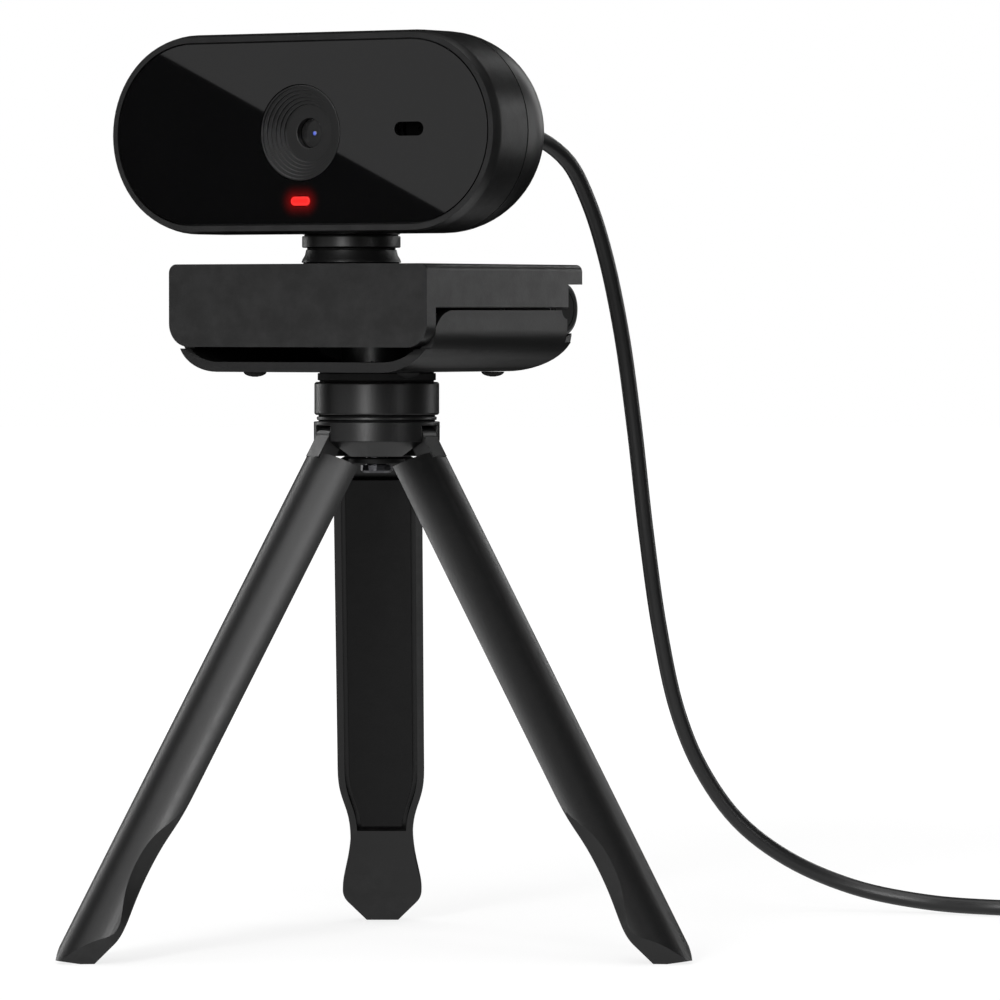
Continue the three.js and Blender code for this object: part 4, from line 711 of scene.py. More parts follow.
# How each finish is made, with its colour or the setting that holds it. The other values of
# the moulded ones are roughness, grains per metre, specular level, bump, edge wear with its
# painted edge highlight, dust and tint; those of the metals are roughness and its variation.
FINISHES = {
    "satin_plastic": (moulded, "satin_color", 0.4, 3400.0, 0.3, 0.35, 0.3, 0.03, 0.05),
    "matte_plastic": (moulded, "matte_color", 0.6, 2600.0, 0.15, 0.5, 0.15, 0.03, 0.12),
    "hood_plastic": (moulded, "satin_color", 0.3, 3000.0, 0.4, 0.12, 0.1, 0, 0.04),
    "black_felt": (moulded, (0.0008, 0.0008, 0.0008), 0.9, 1800.0, 0.02, 0.6, 0, 0, 0.12),
    "rubber": (moulded, "rubber_color", 0.78, 1500.0, 0.15, 0.6, 0.1, 0.06, 0.12),
    "cable_jacket": (moulded, "cable_color", 0.36, 2200.0, 0.3, 0.2, 0, 0.02, 0.12),
    "strap": (moulded, "rubber_color", 0.66, 1900.0, 0.35, 0.7, 0.2, 0.04, 0.12),
    "steel": (metal, "steel_color", 0.22, 0.16),
    "dark_steel": (metal, (0.06, 0.06, 0.065), 0.32, 0.2),
    "brass": (metal, (0.6, 0.43, 0.2), 0.26, 0.18),
    "gloss_plastic": (gloss_plastic, "window_color", "glow_radius"),
    "red_lens": (red_lens, "lamp_color"),
    "glass": (glass,),
    "circuit_board": (circuit_board,),
}


def finish_of(slot):
    """The material of one of the record's slots, built when it is first used."""
    made = bpy.data.materials.get("webcam_" + slot)
    if made is None:
        made = bpy.data.materials.new("webcam_" + slot)
        made.use_nodes = True
        tree = made.node_tree
        shader = tree.nodes["Principled BSDF"]
        finish = bpy.context.scene.webcam_finish
        build, *values = FINISHES[slot]
        values = [getattr(finish, value) if isinstance(value, str) else value for value in values]
        for label, value in build(tree, *values).items():
            feed(tree, value, shader.inputs[label])
    return made


def dress(slot, *nodes):
    """Gives CAD nodes that stay their finish."""
    for name in nodes:
        carried = NODES[name]
        carried.data.materials.clear()
        carried.data.materials.append(finish_of(slot))


# ---- Settings ----------------------------------------------------------------------------

def length(name, description, default):
    """A length setting, in metres, whose default is given in millimetres."""
    return FloatProperty(name=name, description=description, default=default * MM, min=0,
                         precision=5, unit="LENGTH", subtype="DISTANCE")


def number(name, description, default):
    """A plain number."""
    return FloatProperty(name=name, description=description, default=default)


def color(name, description, default):
    """A colour setting."""
    return FloatVectorProperty(name=name, description=description, default=default,
                               size=3, min=0, max=1, subtype="COLOR")


class WebcamFinish(bpy.types.PropertyGroup):
    """Colours of the webcam and its tripod"""
    satin_color: color("Satin plastic", "Housings, clip, hub and legs", (0.0036, 0.0036, 0.0037))
    matte_color: color("Matte plastic", "Inlays, caps and spacers", (0.0028, 0.0028, 0.0029))
    window_color: color("Window", "Glossy window over the face", (0.0015, 0.0015, 0.0016))
    rubber_color: color("Rubber", "Feet, pads and strain relief", (0.004, 0.004, 0.004))
    cable_color: color("Cable", "Jacket of the cable", (0.007, 0.007, 0.0072))
    steel_color: color("Steel", "Pins, screws and plug", (0.55, 0.56, 0.58))
    lamp_color: color("Status light", "Light pipe under the lens", (0.2, 0.004, 0.003))
    # The glow is painted light: red emission on the window round the status light.
    glow_radius: length("Glow", "How far the status light reddens the window", 3.5)


class WebcamHeadSizes(bpy.types.PropertyGroup):
    """Small sizes of the head"""
    housing_wall: length("Wall", "Thickness of the housings", 1.6)
    rim_edge: length("Rim edge", "Rounding of the rim round the window", 0.3)
    window_edge: length("Window edge", "Rounding of the window's edges", 0.1)
    hood_steps: IntProperty(name="Hood steps", description="Rings inside the lens hood",
                            default=6, min=1)
    hood_step_width: length("Step width", "Width of one ring of the hood", 0.6)
    hood_step_depth: length("Step depth", "Depth of one ring of the hood", 0.5)
    aperture_radius: length("Aperture", "Radius of the hole in the hood's floor", 2.7)


class WebcamClipSizes(bpy.types.PropertyGroup):
    """Small sizes of the clip and its neck"""
    wall: length("Wall", "Thickness of the arm and the jaw", 1.8)
    edge: length("Edge", "Rounding of the clip's edges", 0.35)
    flap_thickness: length("Flap", "Thickness of the front flap", 2.9)
    overhang_depth: length("Overhang", "Depth of the arm behind its hinge", 3.6)
    jaw_corner_width: length("Corner width", "Width of the jaw's low corners", 10)
    jaw_corner_height: length("Corner height", "Height of the jaw's low corners", 7.6)


class WebcamTripodSizes(bpy.types.PropertyGroup):
    """Small sizes of the tripod"""
    leg_arc: length("Leg round", "Radius of a leg's outer face", 8.9)
    leg_lip: length("Lip", "Rim left round the inlay's recess", 1.3)
    leg_recess: length("Recess", "Depth of the inlay's recess", 1.25)
    leg_edge: length("Leg edge", "Rounding of a leg's edges", 0.22)
    slot_width: length("Slot", "Width of the hub's slots", 5.3)


class WebcamCableSizes(bpy.types.PropertyGroup):
    """Sizes of the cable"""
    diameter: length("Diameter", "Outside of the cable's jacket", 3)
    coil_diameter: length("Coil", "Diameter at the middle of the coil's turns", 33)
    tie_thickness: length("Tie", "Thickness of the strap round the coil", 0.8)


class WebcamStudio(bpy.types.PropertyGroup):
    """Camera and light"""
    camera_distance: length("Distance", "Camera to the tripod's axis", 1268)
    camera_height: length("Height", "Camera above the table", 114.7)
    camera_side: length("Side", "Camera to the right of the axis", 22.4)
    camera_pitch: FloatProperty(name="Pitch", description="How far the camera looks down",
                                default=math.radians(1.495), subtype="ANGLE")
    focal_length: number("Focal length", "Focal length in millimetres", 251.06)
    key_power: number("Key light", "Power that the lights have their shares of", 4)
    cloth_radius: length("Cloth", "Inside radius of the dark cloth on the table", 170)
    screen_radius: length("Screen", "Radius of the dark screen round the studio", 1250)
    screen_height: length("Screen height", "Height of the dark screen", 2100)
    panel_distance: length("Panel", "From the window to the panel that it mirrors", 500)
    card_strength: number("Card strength", "Brightness of the pale cards", 2.0)
    panel_strength: number("Panel strength", "Brightness of the panel", 0.7)


# ---- Stage -------------------------------------------------------------------------------

GLARE_EDGE = ((-31.3, 15.0), (30.0, -14.0))  # on the window, where the panel's edge shows
FLOOR_HALF = 6
HORIZON = {"start": 0.25, "end": 0.9, "low": 0.78, "high": 0.98}  # the floor pales with distance
# Lights: azimuth, elevation, distance, size, and share of the key light's power
SOFTBOXES = {
    "left_light": (-138, 5, 0.8, (0.1, 0.7), 0.5),
    "right_light": (121, 8, 0.8, (0.12, 0.4), 0.22),
    "back_light": (152, 18, 0.8, (0.12, 0.4), 0.2),
    "front_light": (-20, 8, 1.0, (0.1, 0.8), 2.7),
    "high_light": (-12, 46, 0.9, (0.3, 0.3), 0.5),
    "fill_light": (44, 8, 1.0, (0.06, 0.6), 0.35),
    "top_light": (0, 85, 0.9, (0.7, 0.7), 0.7),
}
# Cards: first and last azimuth, lowest and highest elevation, distance, and share of strength
ROUND_CARDS = {
    "side_card": (-88, -44, 1, 11, 0.5, 1.0),
    "high_card": (-80, -6, 38, 52, 0.9, 4.0),
}
FRONT_CARD = [(-0.2, -0.55, 0.003), (0.12, -0.55, 0.003), (0.12, -0.13, 0.003),
              (-0.2, -0.13, 0.003)]


def add_camera(studio):
    """The camera, level but for a small pitch."""
    data = bpy.data.cameras.new("camera")
    data.lens = studio.focal_length
    data.sensor_width = 36
    data.clip_end = 30
    camera = bpy.data.objects.new("camera", data)
    camera.location = UNDER_TRIPOD + Vector(
        (studio.camera_side, -studio.camera_distance, studio.camera_height))
    camera.rotation_euler = (math.radians(90) - studio.camera_pitch, 0, 0)
    bpy.context.scene.collection.objects.link(camera)
    bpy.context.scene.camera = camera


def around(azimuth, elevation, distance, target):
    """A point round a target. Azimuth 0 is towards the camera and 90 to its right."""
    a, e = math.radians(azimuth), math.radians(elevation)
    return target + distance * Vector(
        (math.sin(a) * math.cos(e), -math.cos(a) * math.cos(e), math.sin(e)))


def add_softbox(name, azimuth, elevation, distance, size, power, target):
    """A soft rectangular light that faces a target."""
    data = bpy.data.lights.new(name, "AREA")
    data.shape = "RECTANGLE"
    data.size, data.size_y = size
    data.energy = power
    lamp = bpy.data.objects.new(name, data)
    lamp.location = around(azimuth, elevation, distance, target)
    lamp.rotation_euler = (target - lamp.location).to_track_quat("-Z", "Y").to_euler()
    bpy.context.scene.collection.objects.link(lamp)


def emptied(owner):
    """The cleared node tree of a world or a material."""
    owner.use_nodes = True
    owner.node_tree.nodes.clear()
    return owner.node_tree


def seen_directly(tree):
    """A mask of the rays that show the background: camera, glossy and transmission rays."""
    path = node(tree, "LightPath").outputs
    mirrored = maths(tree, "MAXIMUM", path["Is Camera Ray"], path["Is Glossy Ray"])
    return maths(tree, "MAXIMUM", mirrored, path["Is Transmission Ray"])


def choice(tree, otherwise, seen):
    """One shader for the rays that show the background, another for the rest."""
    made = node(tree, "MixShader", {
        0: seen_directly(tree), 1: otherwise.outputs[0], 2: seen.outputs[0]})
    return made.outputs[0]


def add_world():
    """A white world to look at, and a grey one to be lit by."""
    world = bpy.data.worlds.new("world")
    bpy.context.scene.world = world
    tree = emptied(world)
    light, white = (node(tree, "Background", {"Color": WHITE, "Strength": strength})
                    for strength in (0.35, 1.0))
    node(tree, "OutputWorld", {"Surface": choice(tree, light, white)})


def add_floor():
    """A white table top that keeps a soft shadow and runs into the white background."""
    top = as_object("floor", block((-FLOOR_HALF, -FLOOR_HALF, -0.002),
                                   (FLOOR_HALF, FLOOR_HALF, 0)))
    material = bpy.data.materials.new("table_top")
    tree = emptied(material)
    table = node(tree, "BsdfDiffuse", {"Color": (0.8, 0.8, 0.8, 1)})
    shaded = node(tree, "BsdfDiffuse", {"Color": (0.22, 0.22, 0.22, 1)})
    away = vectors(tree, "DISTANCE", "Value", node(tree, "NewGeometry").outputs["Position"],
                   UNDER_TRIPOD)
    fade = spread(tree, away, interpolation_type="SMOOTHSTEP", **HORIZON)
    lit = node(tree, "Emission", {"Color": WHITE, "Strength": fade})
    both = node(tree, "AddShader", {0: shaded.outputs[0], 1: lit.outputs[0]})
    node(tree, "OutputMaterial", {"Surface": choice(tree, table, both)})
    top.data.materials.append(material)


def add_mirrored(name, mesh, strength):
    """A glowing piece of the stage that only shiny faces see."""
    made = as_object(name, mesh)
    material = bpy.data.materials.new(name)
    tree = emptied(material)
    lit = node(tree, "Emission", {"Color": WHITE, "Strength": strength})
    node(tree, "OutputMaterial", {"Surface": lit.outputs[0]})
    made.data.materials.append(material)
    for rays in ("camera", "diffuse", "transmission", "volume_scatter", "shadow"):
        setattr(made, "visible_" + rays, False)


def sheet(corners):
    """A single flat face."""
    mesh = bmesh.new()
    mesh.faces.new([mesh.verts.new(corner) for corner in corners])
    return mesh


def add_dark_screen(studio):
    """A dark screen and cloth round the studio, so that black plastic mirrors no white room."""
    inner, radius, height = studio.cloth_radius, studio.screen_radius, studio.screen_height
    add_mirrored("dark_screen", spun(
        [(inner, 0.001), (radius, 0.001), (radius, height), (radius + 0.01, height),
         (radius + 0.01, 0.0005), (inner, 0.0005)], at=UNDER_TRIPOD.xy, loop=True), 0.02)


def add_panel(studio):
    """A light panel whose straight edge shows across the window over the face."""
    camera = bpy.context.scene.camera.location
    face = (HEAD.to_3x3() @ Vector((0, -1, 0))).normalized()
    on_face = HEAD @ Vector((0, 0.1, 0))
    mirrored = camera - 2 * (camera - on_face).dot(face) * face
    (x0, z0), (x1, z1) = GLARE_EDGE
    slope = (z1 - z0) / (x1 - x0)
    reach = 3 * x1
    corners = []
    for x, z in ((-reach, z0 - slope * (reach + x0)), (reach, z1 + slope * (reach - x1)),
                 (reach, 60), (-reach, 60)):
        point = HEAD @ Vector((x, 0.1, z))
        corners.append(point + (point - mirrored).normalized() * studio.panel_distance)
    add_mirrored("window_panel", sheet(corners), studio.panel_strength)


def add_cards(studio):
    """Pale cards that the clip's front and the legs mirror."""
    strength = studio.card_strength
    add_mirrored("front_card", sheet(FRONT_CARD), 0.4 * strength)
    for name, (start, end, low, high, away, share) in ROUND_CARDS.items():
        corners = ((start, low), (end, low), (end, high), (start, high))
        add_mirrored(name, sheet([around(*corner, away, UNDER_TRIPOD) for corner in corners]),
                     share * strength)


def add_stage(studio):
    """Camera, lights, world and floor."""
    bpy.context.scene.view_settings.view_transform = "Standard"
    add_camera(studio)
    add_world()
    add_floor()
    add_dark_screen(studio)
    add_panel(studio)
    add_cards(studio)
    target = Vector((0, 0, HEAD_Z * MM * 0.7))
    for name, (*place, share) in SOFTBOXES.items():
        add_softbox(name, *place, share * studio.key_power, target)


# ---- Cable -------------------------------------------------------------------------------

# The cable's route in the tripod's frame, in metres from its axis: out of the strain relief,
# a slack fall, and a bow along the table to the coil.
UPPER_ROUTE = [
    (0.0126, 0.0196, 0.1481), (0.019, 0.029, 0.1486), (0.025, 0.038, 0.1489),
    (0.0301, 0.045, 0.1482), (0.0354, 0.050, 0.144), (0.0392, 0.054, 0.1366),
    (0.0424, 0.0575, 0.1266),
]
LOWER_ROUTE = [
    (0.0455, 0.0612, 0.112), (0.048, 0.0646, 0.0944), (0.0504, 0.068, 0.0736),
    (0.0531, 0.071, 0.0548), (0.0566, 0.0736, 0.039), (0.0612, 0.0756, 0.0278),
    (0.0684, 0.0774, 0.0176), (0.078, 0.0784, 0.0102), (0.0906, 0.0776, 0.0048),
    (0.1042, 0.074, 0.0022), (0.1182, 0.0676, 0.0016),
]
COIL_START, COIL_END = -112, -90  # degrees round the coil where the cable arrives and leaves
COIL_TURNS = 11
CROSSING = 40  # degrees over which a turn moves to the next place in the coil
FIRST_CROSSING = 60  # degrees into a turn at which the first of the crossings starts
# Column and layer of each turn, and how many crossings' widths later each crossing starts
COIL_PLACES = [(2, 0), (1, 0), (0, 0), (0, 1), (1, 1), (2, 1),
               (2, 2), (1, 2), (0, 2), (0, 3), (1, 3), (2, 3)]
CROSSING_ORDER = [6, 6, 5, 4, 4, 3, 2, 2, 1, 0, 0]
TAIL = [(11.4, -1.2), (24.7, -3.8), (35, -7.5), (38, -7.6)]  # ahead of the coil, and down
TIE_ANGLE = 40


def between(a, b, start, end, t):
    """The point that lies as far from a to b as t does from start to end."""
    return a * ((end - t) / (end - start)) + b * ((t - start) / (end - start))


def smooth_line(points, spacing):
    """A centripetal curve through points, and the places of those points on it."""
    points = [Vector(point) for point in points]
    ends = [2 * points[0] - points[1], *points, 2 * points[-1] - points[-2]]
    line, marks = [points[0]], [0]
    for i in range(len(points) - 1):
        p = ends[i:i + 4]
        u = [0.0]
        for near, far in zip(p, p[1:]):
            u.append(u[-1] + math.sqrt((far - near).length))
        count = max(2, round((p[2] - p[1]).length / spacing))
        for step in range(1, count + 1):
            t = u[1] + (u[2] - u[1]) * step / count
            a = [between(p[k], p[k + 1], u[k], u[k + 1], t) for k in range(3)]
            b = [between(a[k], a[k + 1], u[k], u[k + 2], t) for k in range(2)]
            line.append(between(b[0], b[1], u[1], u[2], t))
        marks.append(len(line) - 1)
    return line, marks


def tube_rings(line, radius, sides=24):
    """Rings round a line that don't twist from one to the next."""
    rings = []
    ahead = (line[1] - line[0]).normalized()
    side = ahead.orthogonal().normalized()
    for i, point in enumerate(line):
        far = line[min(i + 1, len(line) - 1)]
        near = line[max(i - 1, 0)]
        turned = (far - near).normalized()
        side = (side - turned * side.dot(turned)).normalized()
        up = turned.cross(side)
        angles = [2 * math.pi * k / sides for k in range(sides)]
        rings.append([point + radius * (math.cos(a) * side + math.sin(a) * up) for a in angles])
    return rings


def ease(value):
    """A smooth step from 0 to 1."""
    value = min(1.0, max(0.0, value))
    return value * value * (3 - 2 * value)


class Coil:
    """Where the turns of the coil lie, in the tripod's millimetres."""

    def __init__(self, sizes):
        low, high = extent("cable_coil", TRIPOD)
        self.centre = (low + high) / 2
        self.strand = sizes.diameter / MM
        self.mean = sizes.coil_diameter / MM / 2
        self.floor = low.z
        self.top = high.z
        self.inner = self.mean - 1.5 * self.strand
        self.outer = self.mean + 1.5 * self.strand

    def sunk(self, degrees):
        """How far the turns sag to the table away from the strap that they lie on."""
        away = abs((degrees - TIE_ANGLE + 180) % 360 - 180)
        return (self.floor - 0.05) * ease((away - 25) / 60)

    def beside(self, degrees, ahead, height):
        """A point along the tangent of the outer turn."""
        angle = math.radians(degrees)
        c, s = math.cos(angle), math.sin(angle)
        reach = self.mean + self.strand
        return Vector((self.centre.x + reach * c - ahead * s,
                       self.centre.y + reach * s + ahead * c, height))

    def turn(self, wound):
        """The point after winding on for some degrees."""
        column, layer = COIL_PLACES[0]
        for k, order in enumerate(CROSSING_ORDER):
            share = ease((wound - 360 * k - FIRST_CROSSING - CROSSING * order) / CROSSING)
            column += (COIL_PLACES[k + 1][0] - COIL_PLACES[k][0]) * share
            layer += (COIL_PLACES[k + 1][1] - COIL_PLACES[k][1]) * share
        degrees = COIL_START + wound
        reach = self.mean + (column - 1) * self.strand
        angle = math.radians(degrees)
        height = self.floor + self.strand * (0.5 + layer) - self.sunk(degrees)
        return Vector((self.centre.x + reach * math.cos(angle),
                       self.centre.y + reach * math.sin(angle), height))

    def turns(self, step=9):
        """All the turns, from the arrival to the departure."""
        wound = 360 * COIL_TURNS + COIL_END - COIL_START
        count = round(wound / step)
        return [self.turn(wound * i / count) for i in range(count + 1)]


def to_row(line):
    """Points in the tripod's millimetres as points of the row frame, in metres."""
    return [TRIPOD @ point for point in line]


def add_cable(sizes):
    """The cable from the head down to the table, its coil, and its plug."""
    radius = sizes.diameter / 2
    coil = Coil(sizes)
    inside_sleeve = extent("strain_relief", HEAD)[1].y - 2
    tip = TRIPOD.inverted() @ (HEAD @ Vector((0, inside_sleeve, 0)))
    route = [tip, *(Vector(point) / MM for point in UPPER_ROUTE + LOWER_ROUTE)]
    turns = coil.turns()
    tail = [coil.beside(COIL_END, ahead, coil.top - coil.strand / 2 + down)
            for ahead, down in TAIL]
    hanging, marks = smooth_line([*route, turns[0]], 2.0)
    leaving, _ = smooth_line([turns[-1], *tail], 2.0)
    whole = hanging + turns[1:] + leaving[1:]
    rings = tube_rings(to_row(whole), radius)
    split = marks[len(UPPER_ROUTE)]

    upper = as_object("usb_lead_upper", skinned(rings[:split + 1]))
    lower = as_object("usb_lead_lower", skinned(rings[split:]))
    for lead, nodes in ((upper, ["usb_cable_upper"]),
                        (lower, ["usb_cable_lower", "cable_coil", "usb_cable_tail"])):
        lead.data.shade_smooth()
        lead.data.set_sharp_from_angle(angle=math.radians(60))
        lead.data.materials.append(finish_of("cable_jacket"))
        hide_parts(*nodes)
    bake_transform(upper)
    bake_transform(lower)
    on_lead = [*add_plug(), add_tie(sizes, coil)]


def add_tie(sizes, coil):
    """A strap round the coil's section, with the ribs of its closed end."""
    thickness = sizes.tie_thickness / MM
    spare, across, first, pitch, rib, groove = 0.3, 8.0, 3, 1.6, 0.6, 0.22
    low, high = extent("coil_tie", TRIPOD)
    sag = coil.inner - math.sqrt(coil.inner ** 2 - (across / 2) ** 2)
    inside, outside = coil.inner - spare - thickness - sag, coil.outer + spare + thickness
    band = as_object("coil_strap", prism(plate(inside, outside, low.z, high.z, 2.2),
                                         -across / 2, across / 2, "Y"))
    hollow = plate(inside + thickness, outside - thickness, low.z + thickness,
                   high.z - thickness, 1.4)
    carve(band, "DIFFERENCE", prism(hollow, -across, across, "Y"))
    carve(band, "DIFFERENCE", *[
        block((inside + first + pitch * k, -across, high.z - groove),
              (inside + first + rib + pitch * k, across, high.z + OVERRUN)) for k in range(4)])
    place = (TRIPOD @ Matrix.Translation((coil.centre.x, coil.centre.y, 0))
             @ Matrix.Rotation(math.radians(TIE_ANGLE), 4, "Z"))
    return put(band, place, "strap", ["coil_tie"], edge=0.16)


def add_plug():
    """The USB plug: a grip with a ribbed boot, a shell with its tongue and contacts."""
    low, high = extent("plug_body", TRIPOD)
    shell_low, shell_high = extent("plug_shell", TRIPOD)
    middle, half = (low + high) / 2, (high - low) / 2
    place = TRIPOD @ Matrix.Translation((low.x, middle.y, middle.z))
    boot, wall, play, corner = 9.0, 0.4, 0.1, 2.6
    grip = as_object("plug_grip", prism(plate(-half.y, half.y, -half.z, half.z, corner), boot,
                                        high.x - low.x, "X"))
    first, pitch, ridge, depth = boot + 7, 2.2, 1.1, 0.45
    carve(grip, "DIFFERENCE", *[
        block((first + pitch * k, left, -corner), (first + pitch * k + ridge, right, corner))
        for k in range(5) for left, right in both_sides(half.y - depth, half.y + OVERRUN)])
    thin, swell, groove, overlap = 2.3, 0.8, 0.35, 0.3
    profile = [(0, 0), (2.0, 0), (thin, 0.5)]
    for k in range(4):
        start = 1.2 + 1.9 * k
        wide = thin + swell * start / boot
        profile += [(wide, start), (wide - groove, start + 0.15), (wide - groove, start + 0.75),
                    (wide + 0.05, start + 0.9)]
    profile += [(thin + swell, boot + overlap), (0, boot + overlap)]
    sleeve = as_object("plug_sleeve", spun(profile, "X", steps=48))
    start, end = shell_low.x - low.x, shell_high.x - low.x
    wide, tall = (shell_high.y - shell_low.y) / 2, (shell_high.z - shell_low.z) / 2
    shell = as_object("plug_sheet", prism(plate(-wide, wide, -tall, tall, 0.5), start, end, "X"))
    floor = start + 1.5
    carve(shell, "DIFFERENCE",
          block((floor, wall - wide, wall - tall), (end + OVERRUN, wide - wall, tall - wall)),
          *[block((end - 7.4, left, 0), (end - 5.0, right, tall + OVERRUN))
            for left, right in both_sides(1.7, 4.1)])
    tongue = as_object("plug_tongue", block(
        (floor, play + wall - wide, wall - tall + 0.05), (end - 0.6, wide - wall - play, 0.05)))
    contacts = as_object("plug_contacts", merged(*[
        block((start + 4, y - 0.5, 0), (end - 1.8, y + 0.5, 0.14))
        for y in (-3.5, -1.0, 1.0, 3.5)]))
    return [put(grip, place, "matte_plastic", ["plug_body"], edge=0.45),
            put(sleeve, place, "rubber", (), edge=0.08, segments=2, body="platform"),
            put(shell, place, "steel", ["plug_shell"], edge=0.08, segments=2),
            put(tongue, place, "matte_plastic", (), edge=0.12, segments=2, body="platform"),
            put(contacts, place, "brass", (), edge=0.04, segments=2, body="platform")]


# ---- Head --------------------------------------------------------------------------------

HOUSING_RADIUS = (HOUSING_HIGH.z - HOUSING_LOW.z) / 2
PILL_HALF = (HOUSING_HIGH.x - HOUSING_LOW.x) / 2 - HOUSING_RADIUS
SEAM = HOUSING_HIGH.y - HOUSING_LOW.y
HEAD_BACK = extent("rear_shell", HEAD)[1].y
DOME_INSET = 15  # how far the back draws in from the seam's outline
WINDOW_AT, WINDOW_SIZE = spot("front_window", HEAD)
BULKHEAD_FRONT = WINDOW_AT.y + WINDOW_SIZE.y / 2 + SEAT_GAP
BULKHEAD_BACK = BULKHEAD_FRONT + 1.8
HOOD_AT, HOOD_SIZE = spot("lens_hood", HEAD)
LAMP_AT, LAMP_SIZE = spot("light_pipe", HEAD)
MIC_AT = spot("microphone", HEAD)[0]
MIC_SLOT = (6.2, 2.5)
SCREW_X = spot("housing_screw_right", HEAD)[0].x
BOARD_SCREW_AT = spot("board_screw_right", HEAD)[0]
BOARD_FRONT = extent("main_board", HEAD)[0].y
SCREW_HOLE = 1.4
SCREW_HEAD = 2.3
SCREW_POST = 2.7
BOARD_SCREW_HOLE = 1.3
BOARD_POST = 2.4
CABLE_HOLE = 3.2


def head_slots(window, mic, lamp, start, end):
    """Tools for the openings of the lens hood, the microphone and the status light."""
    return [
        rod(HOOD_SIZE.z / 2 + window, start, end, "Y", steps=96),
        prism(slot_outline(MIC_SLOT, (MIC_AT.x, MIC_AT.z), mic), start, end, "Y"),
        prism(slot_outline((LAMP_SIZE.x, LAMP_SIZE.z), (LAMP_AT.x, LAMP_AT.z), lamp),
              start, end, "Y"),
    ]


def add_front_housing(sizes):
    """The front housing: a swelling shoulder, a pocket for the window, a lip at the seam."""
    outer = HOUSING_RADIUS
    inner = outer - sizes.housing_wall / MM
    face = outer - 0.5
    pocket = WINDOW_SIZE.z / 2 + SEAT_GAP
    shoulder = [(face, 0), (face + 0.22, 0.65), (face + 0.37, 1.3), (face + 0.46, 1.75),
                (outer, 2.2)]
    lip = [(inner - 0.2, SEAM), (inner - 0.2, SEAM + 1.6), (inner - 0.9, SEAM + 1.6),
           (inner - 0.9, SEAM - 0.8), (inner, SEAM - 1.4)]
    housing = as_object("face_housing", pill(
        [(2, BULKHEAD_FRONT), (pocket, BULKHEAD_FRONT), (pocket, 0), *shoulder, (outer, SEAM),
         *lip, (inner, BULKHEAD_BACK), (2, BULKHEAD_BACK)], PILL_HALF))
    posts = [(side * BOARD_SCREW_AT.x, BOARD_SCREW_AT.z) for side in (-1, 1)]
    screws = [(side * SCREW_X, 0) for side in (-1, 1)]
    carve(housing, "UNION", *[
        rod(BOARD_POST, BULKHEAD_BACK - 0.5, BOARD_FRONT - SEAT_GAP, "Y", at) for at in posts])
    carve(housing, "DIFFERENCE",
          *head_slots(SEAT_GAP, SEAT_GAP, SEAT_GAP, -OVERRUN, SEAM),
          *[rod(BOARD_SCREW_HOLE, BULKHEAD_BACK, SEAM + 2, "Y", at) for at in posts],
          *[rod(SCREW_HOLE, 0, SEAM, "Y", at) for at in screws],
          *[rod(SCREW_HEAD, 0, BULKHEAD_FRONT + 1.2, "Y", at) for at in screws])
    put(housing, HEAD, "satin_plastic", ["front_housing"], edge=sizes.rim_edge / MM)


def dome(inset):
    """Profile of the head's back, drawn in by an inset."""
    start, end = SEAM + SEAT_GAP, HEAD_BACK - inset
    rings, steps = [], 18
    for i in range(steps + 1):
        share = math.sin(math.pi / 2 * i / steps)
        drawn = DOME_INSET * (1 - math.sqrt(1 - share * share))
        rings.append((HOUSING_RADIUS - inset - drawn, start + (end - start) * share))
    return rings


def add_rear_shell(sizes):
    """The domed back: its seat for the neck, screw posts and the hole for the cable."""
    start, wall = SEAM + SEAT_GAP, sizes.housing_wall / MM
    neck = HEAD.inverted() @ (WEBCAM @ spot("neck_collar", WEBCAM)[0])
    collar = spot("neck_collar", WEBCAM)[1].x / 2 - 0.1
    at = (0, neck.y)
    low, top = -HOUSING_RADIUS, -HOUSING_RADIUS / 2
    ahead_of_seam = (-20, -20, -30), (20, start, 30)
    shell = as_object("back_housing", pill([(2, start), *dome(0)], PILL_HALF))
    boss = as_object("seat", rod(collar, low, top, "Z", at, steps=96))
    room = as_object("room", rod(collar - wall, low + wall, top + OVERRUN, "Z", at, steps=96))
    for half_round in (boss, room):
        carve(half_round, "DIFFERENCE", block(*ahead_of_seam))
    carve(shell, "UNION", taken(boss))
    carve(shell, "DIFFERENCE",
          pill([(2, start - OVERRUN), (HOUSING_RADIUS - wall, start - OVERRUN), *dome(wall)],
               PILL_HALF),
          taken(room),
          rod(NECK_BORE, low - OVERRUN, low + wall + OVERRUN, "Z", at))
    screws = [(side * SCREW_X, 0) for side in (-1, 1)]
    post_end, hole_end = HEAD_BACK - 4.5, start + 4.6
    carve(shell, "UNION", *[rod(SCREW_POST, start, post_end, "Y", at) for at in screws])
    carve(shell, "DIFFERENCE", rod(CABLE_HOLE, start + 2, HEAD_BACK + OVERRUN, "Y"),
          *[rod(SCREW_HOLE, 0, hole_end, "Y", at) for at in screws])
    put(shell, HEAD, "satin_plastic", ["rear_shell"], edge=sizes.rim_edge / MM)


def add_window(sizes):
    """The glossy window, open for the lens hood, the microphone and the status light."""
    front, back = WINDOW_AT.y - WINDOW_SIZE.y / 2, WINDOW_AT.y + WINDOW_SIZE.y / 2
    radius = WINDOW_SIZE.z / 2
    window = as_object("face_window", pill(
        [(2, front), (radius, front), (radius, back), (2, back)], PILL_HALF))
    carve(window, "DIFFERENCE", *head_slots(0.15, 0, 0.15, -OVERRUN, back + OVERRUN))
    put(window, HEAD, "gloss_plastic", ["front_window"], edge=sizes.window_edge / MM, segments=2)


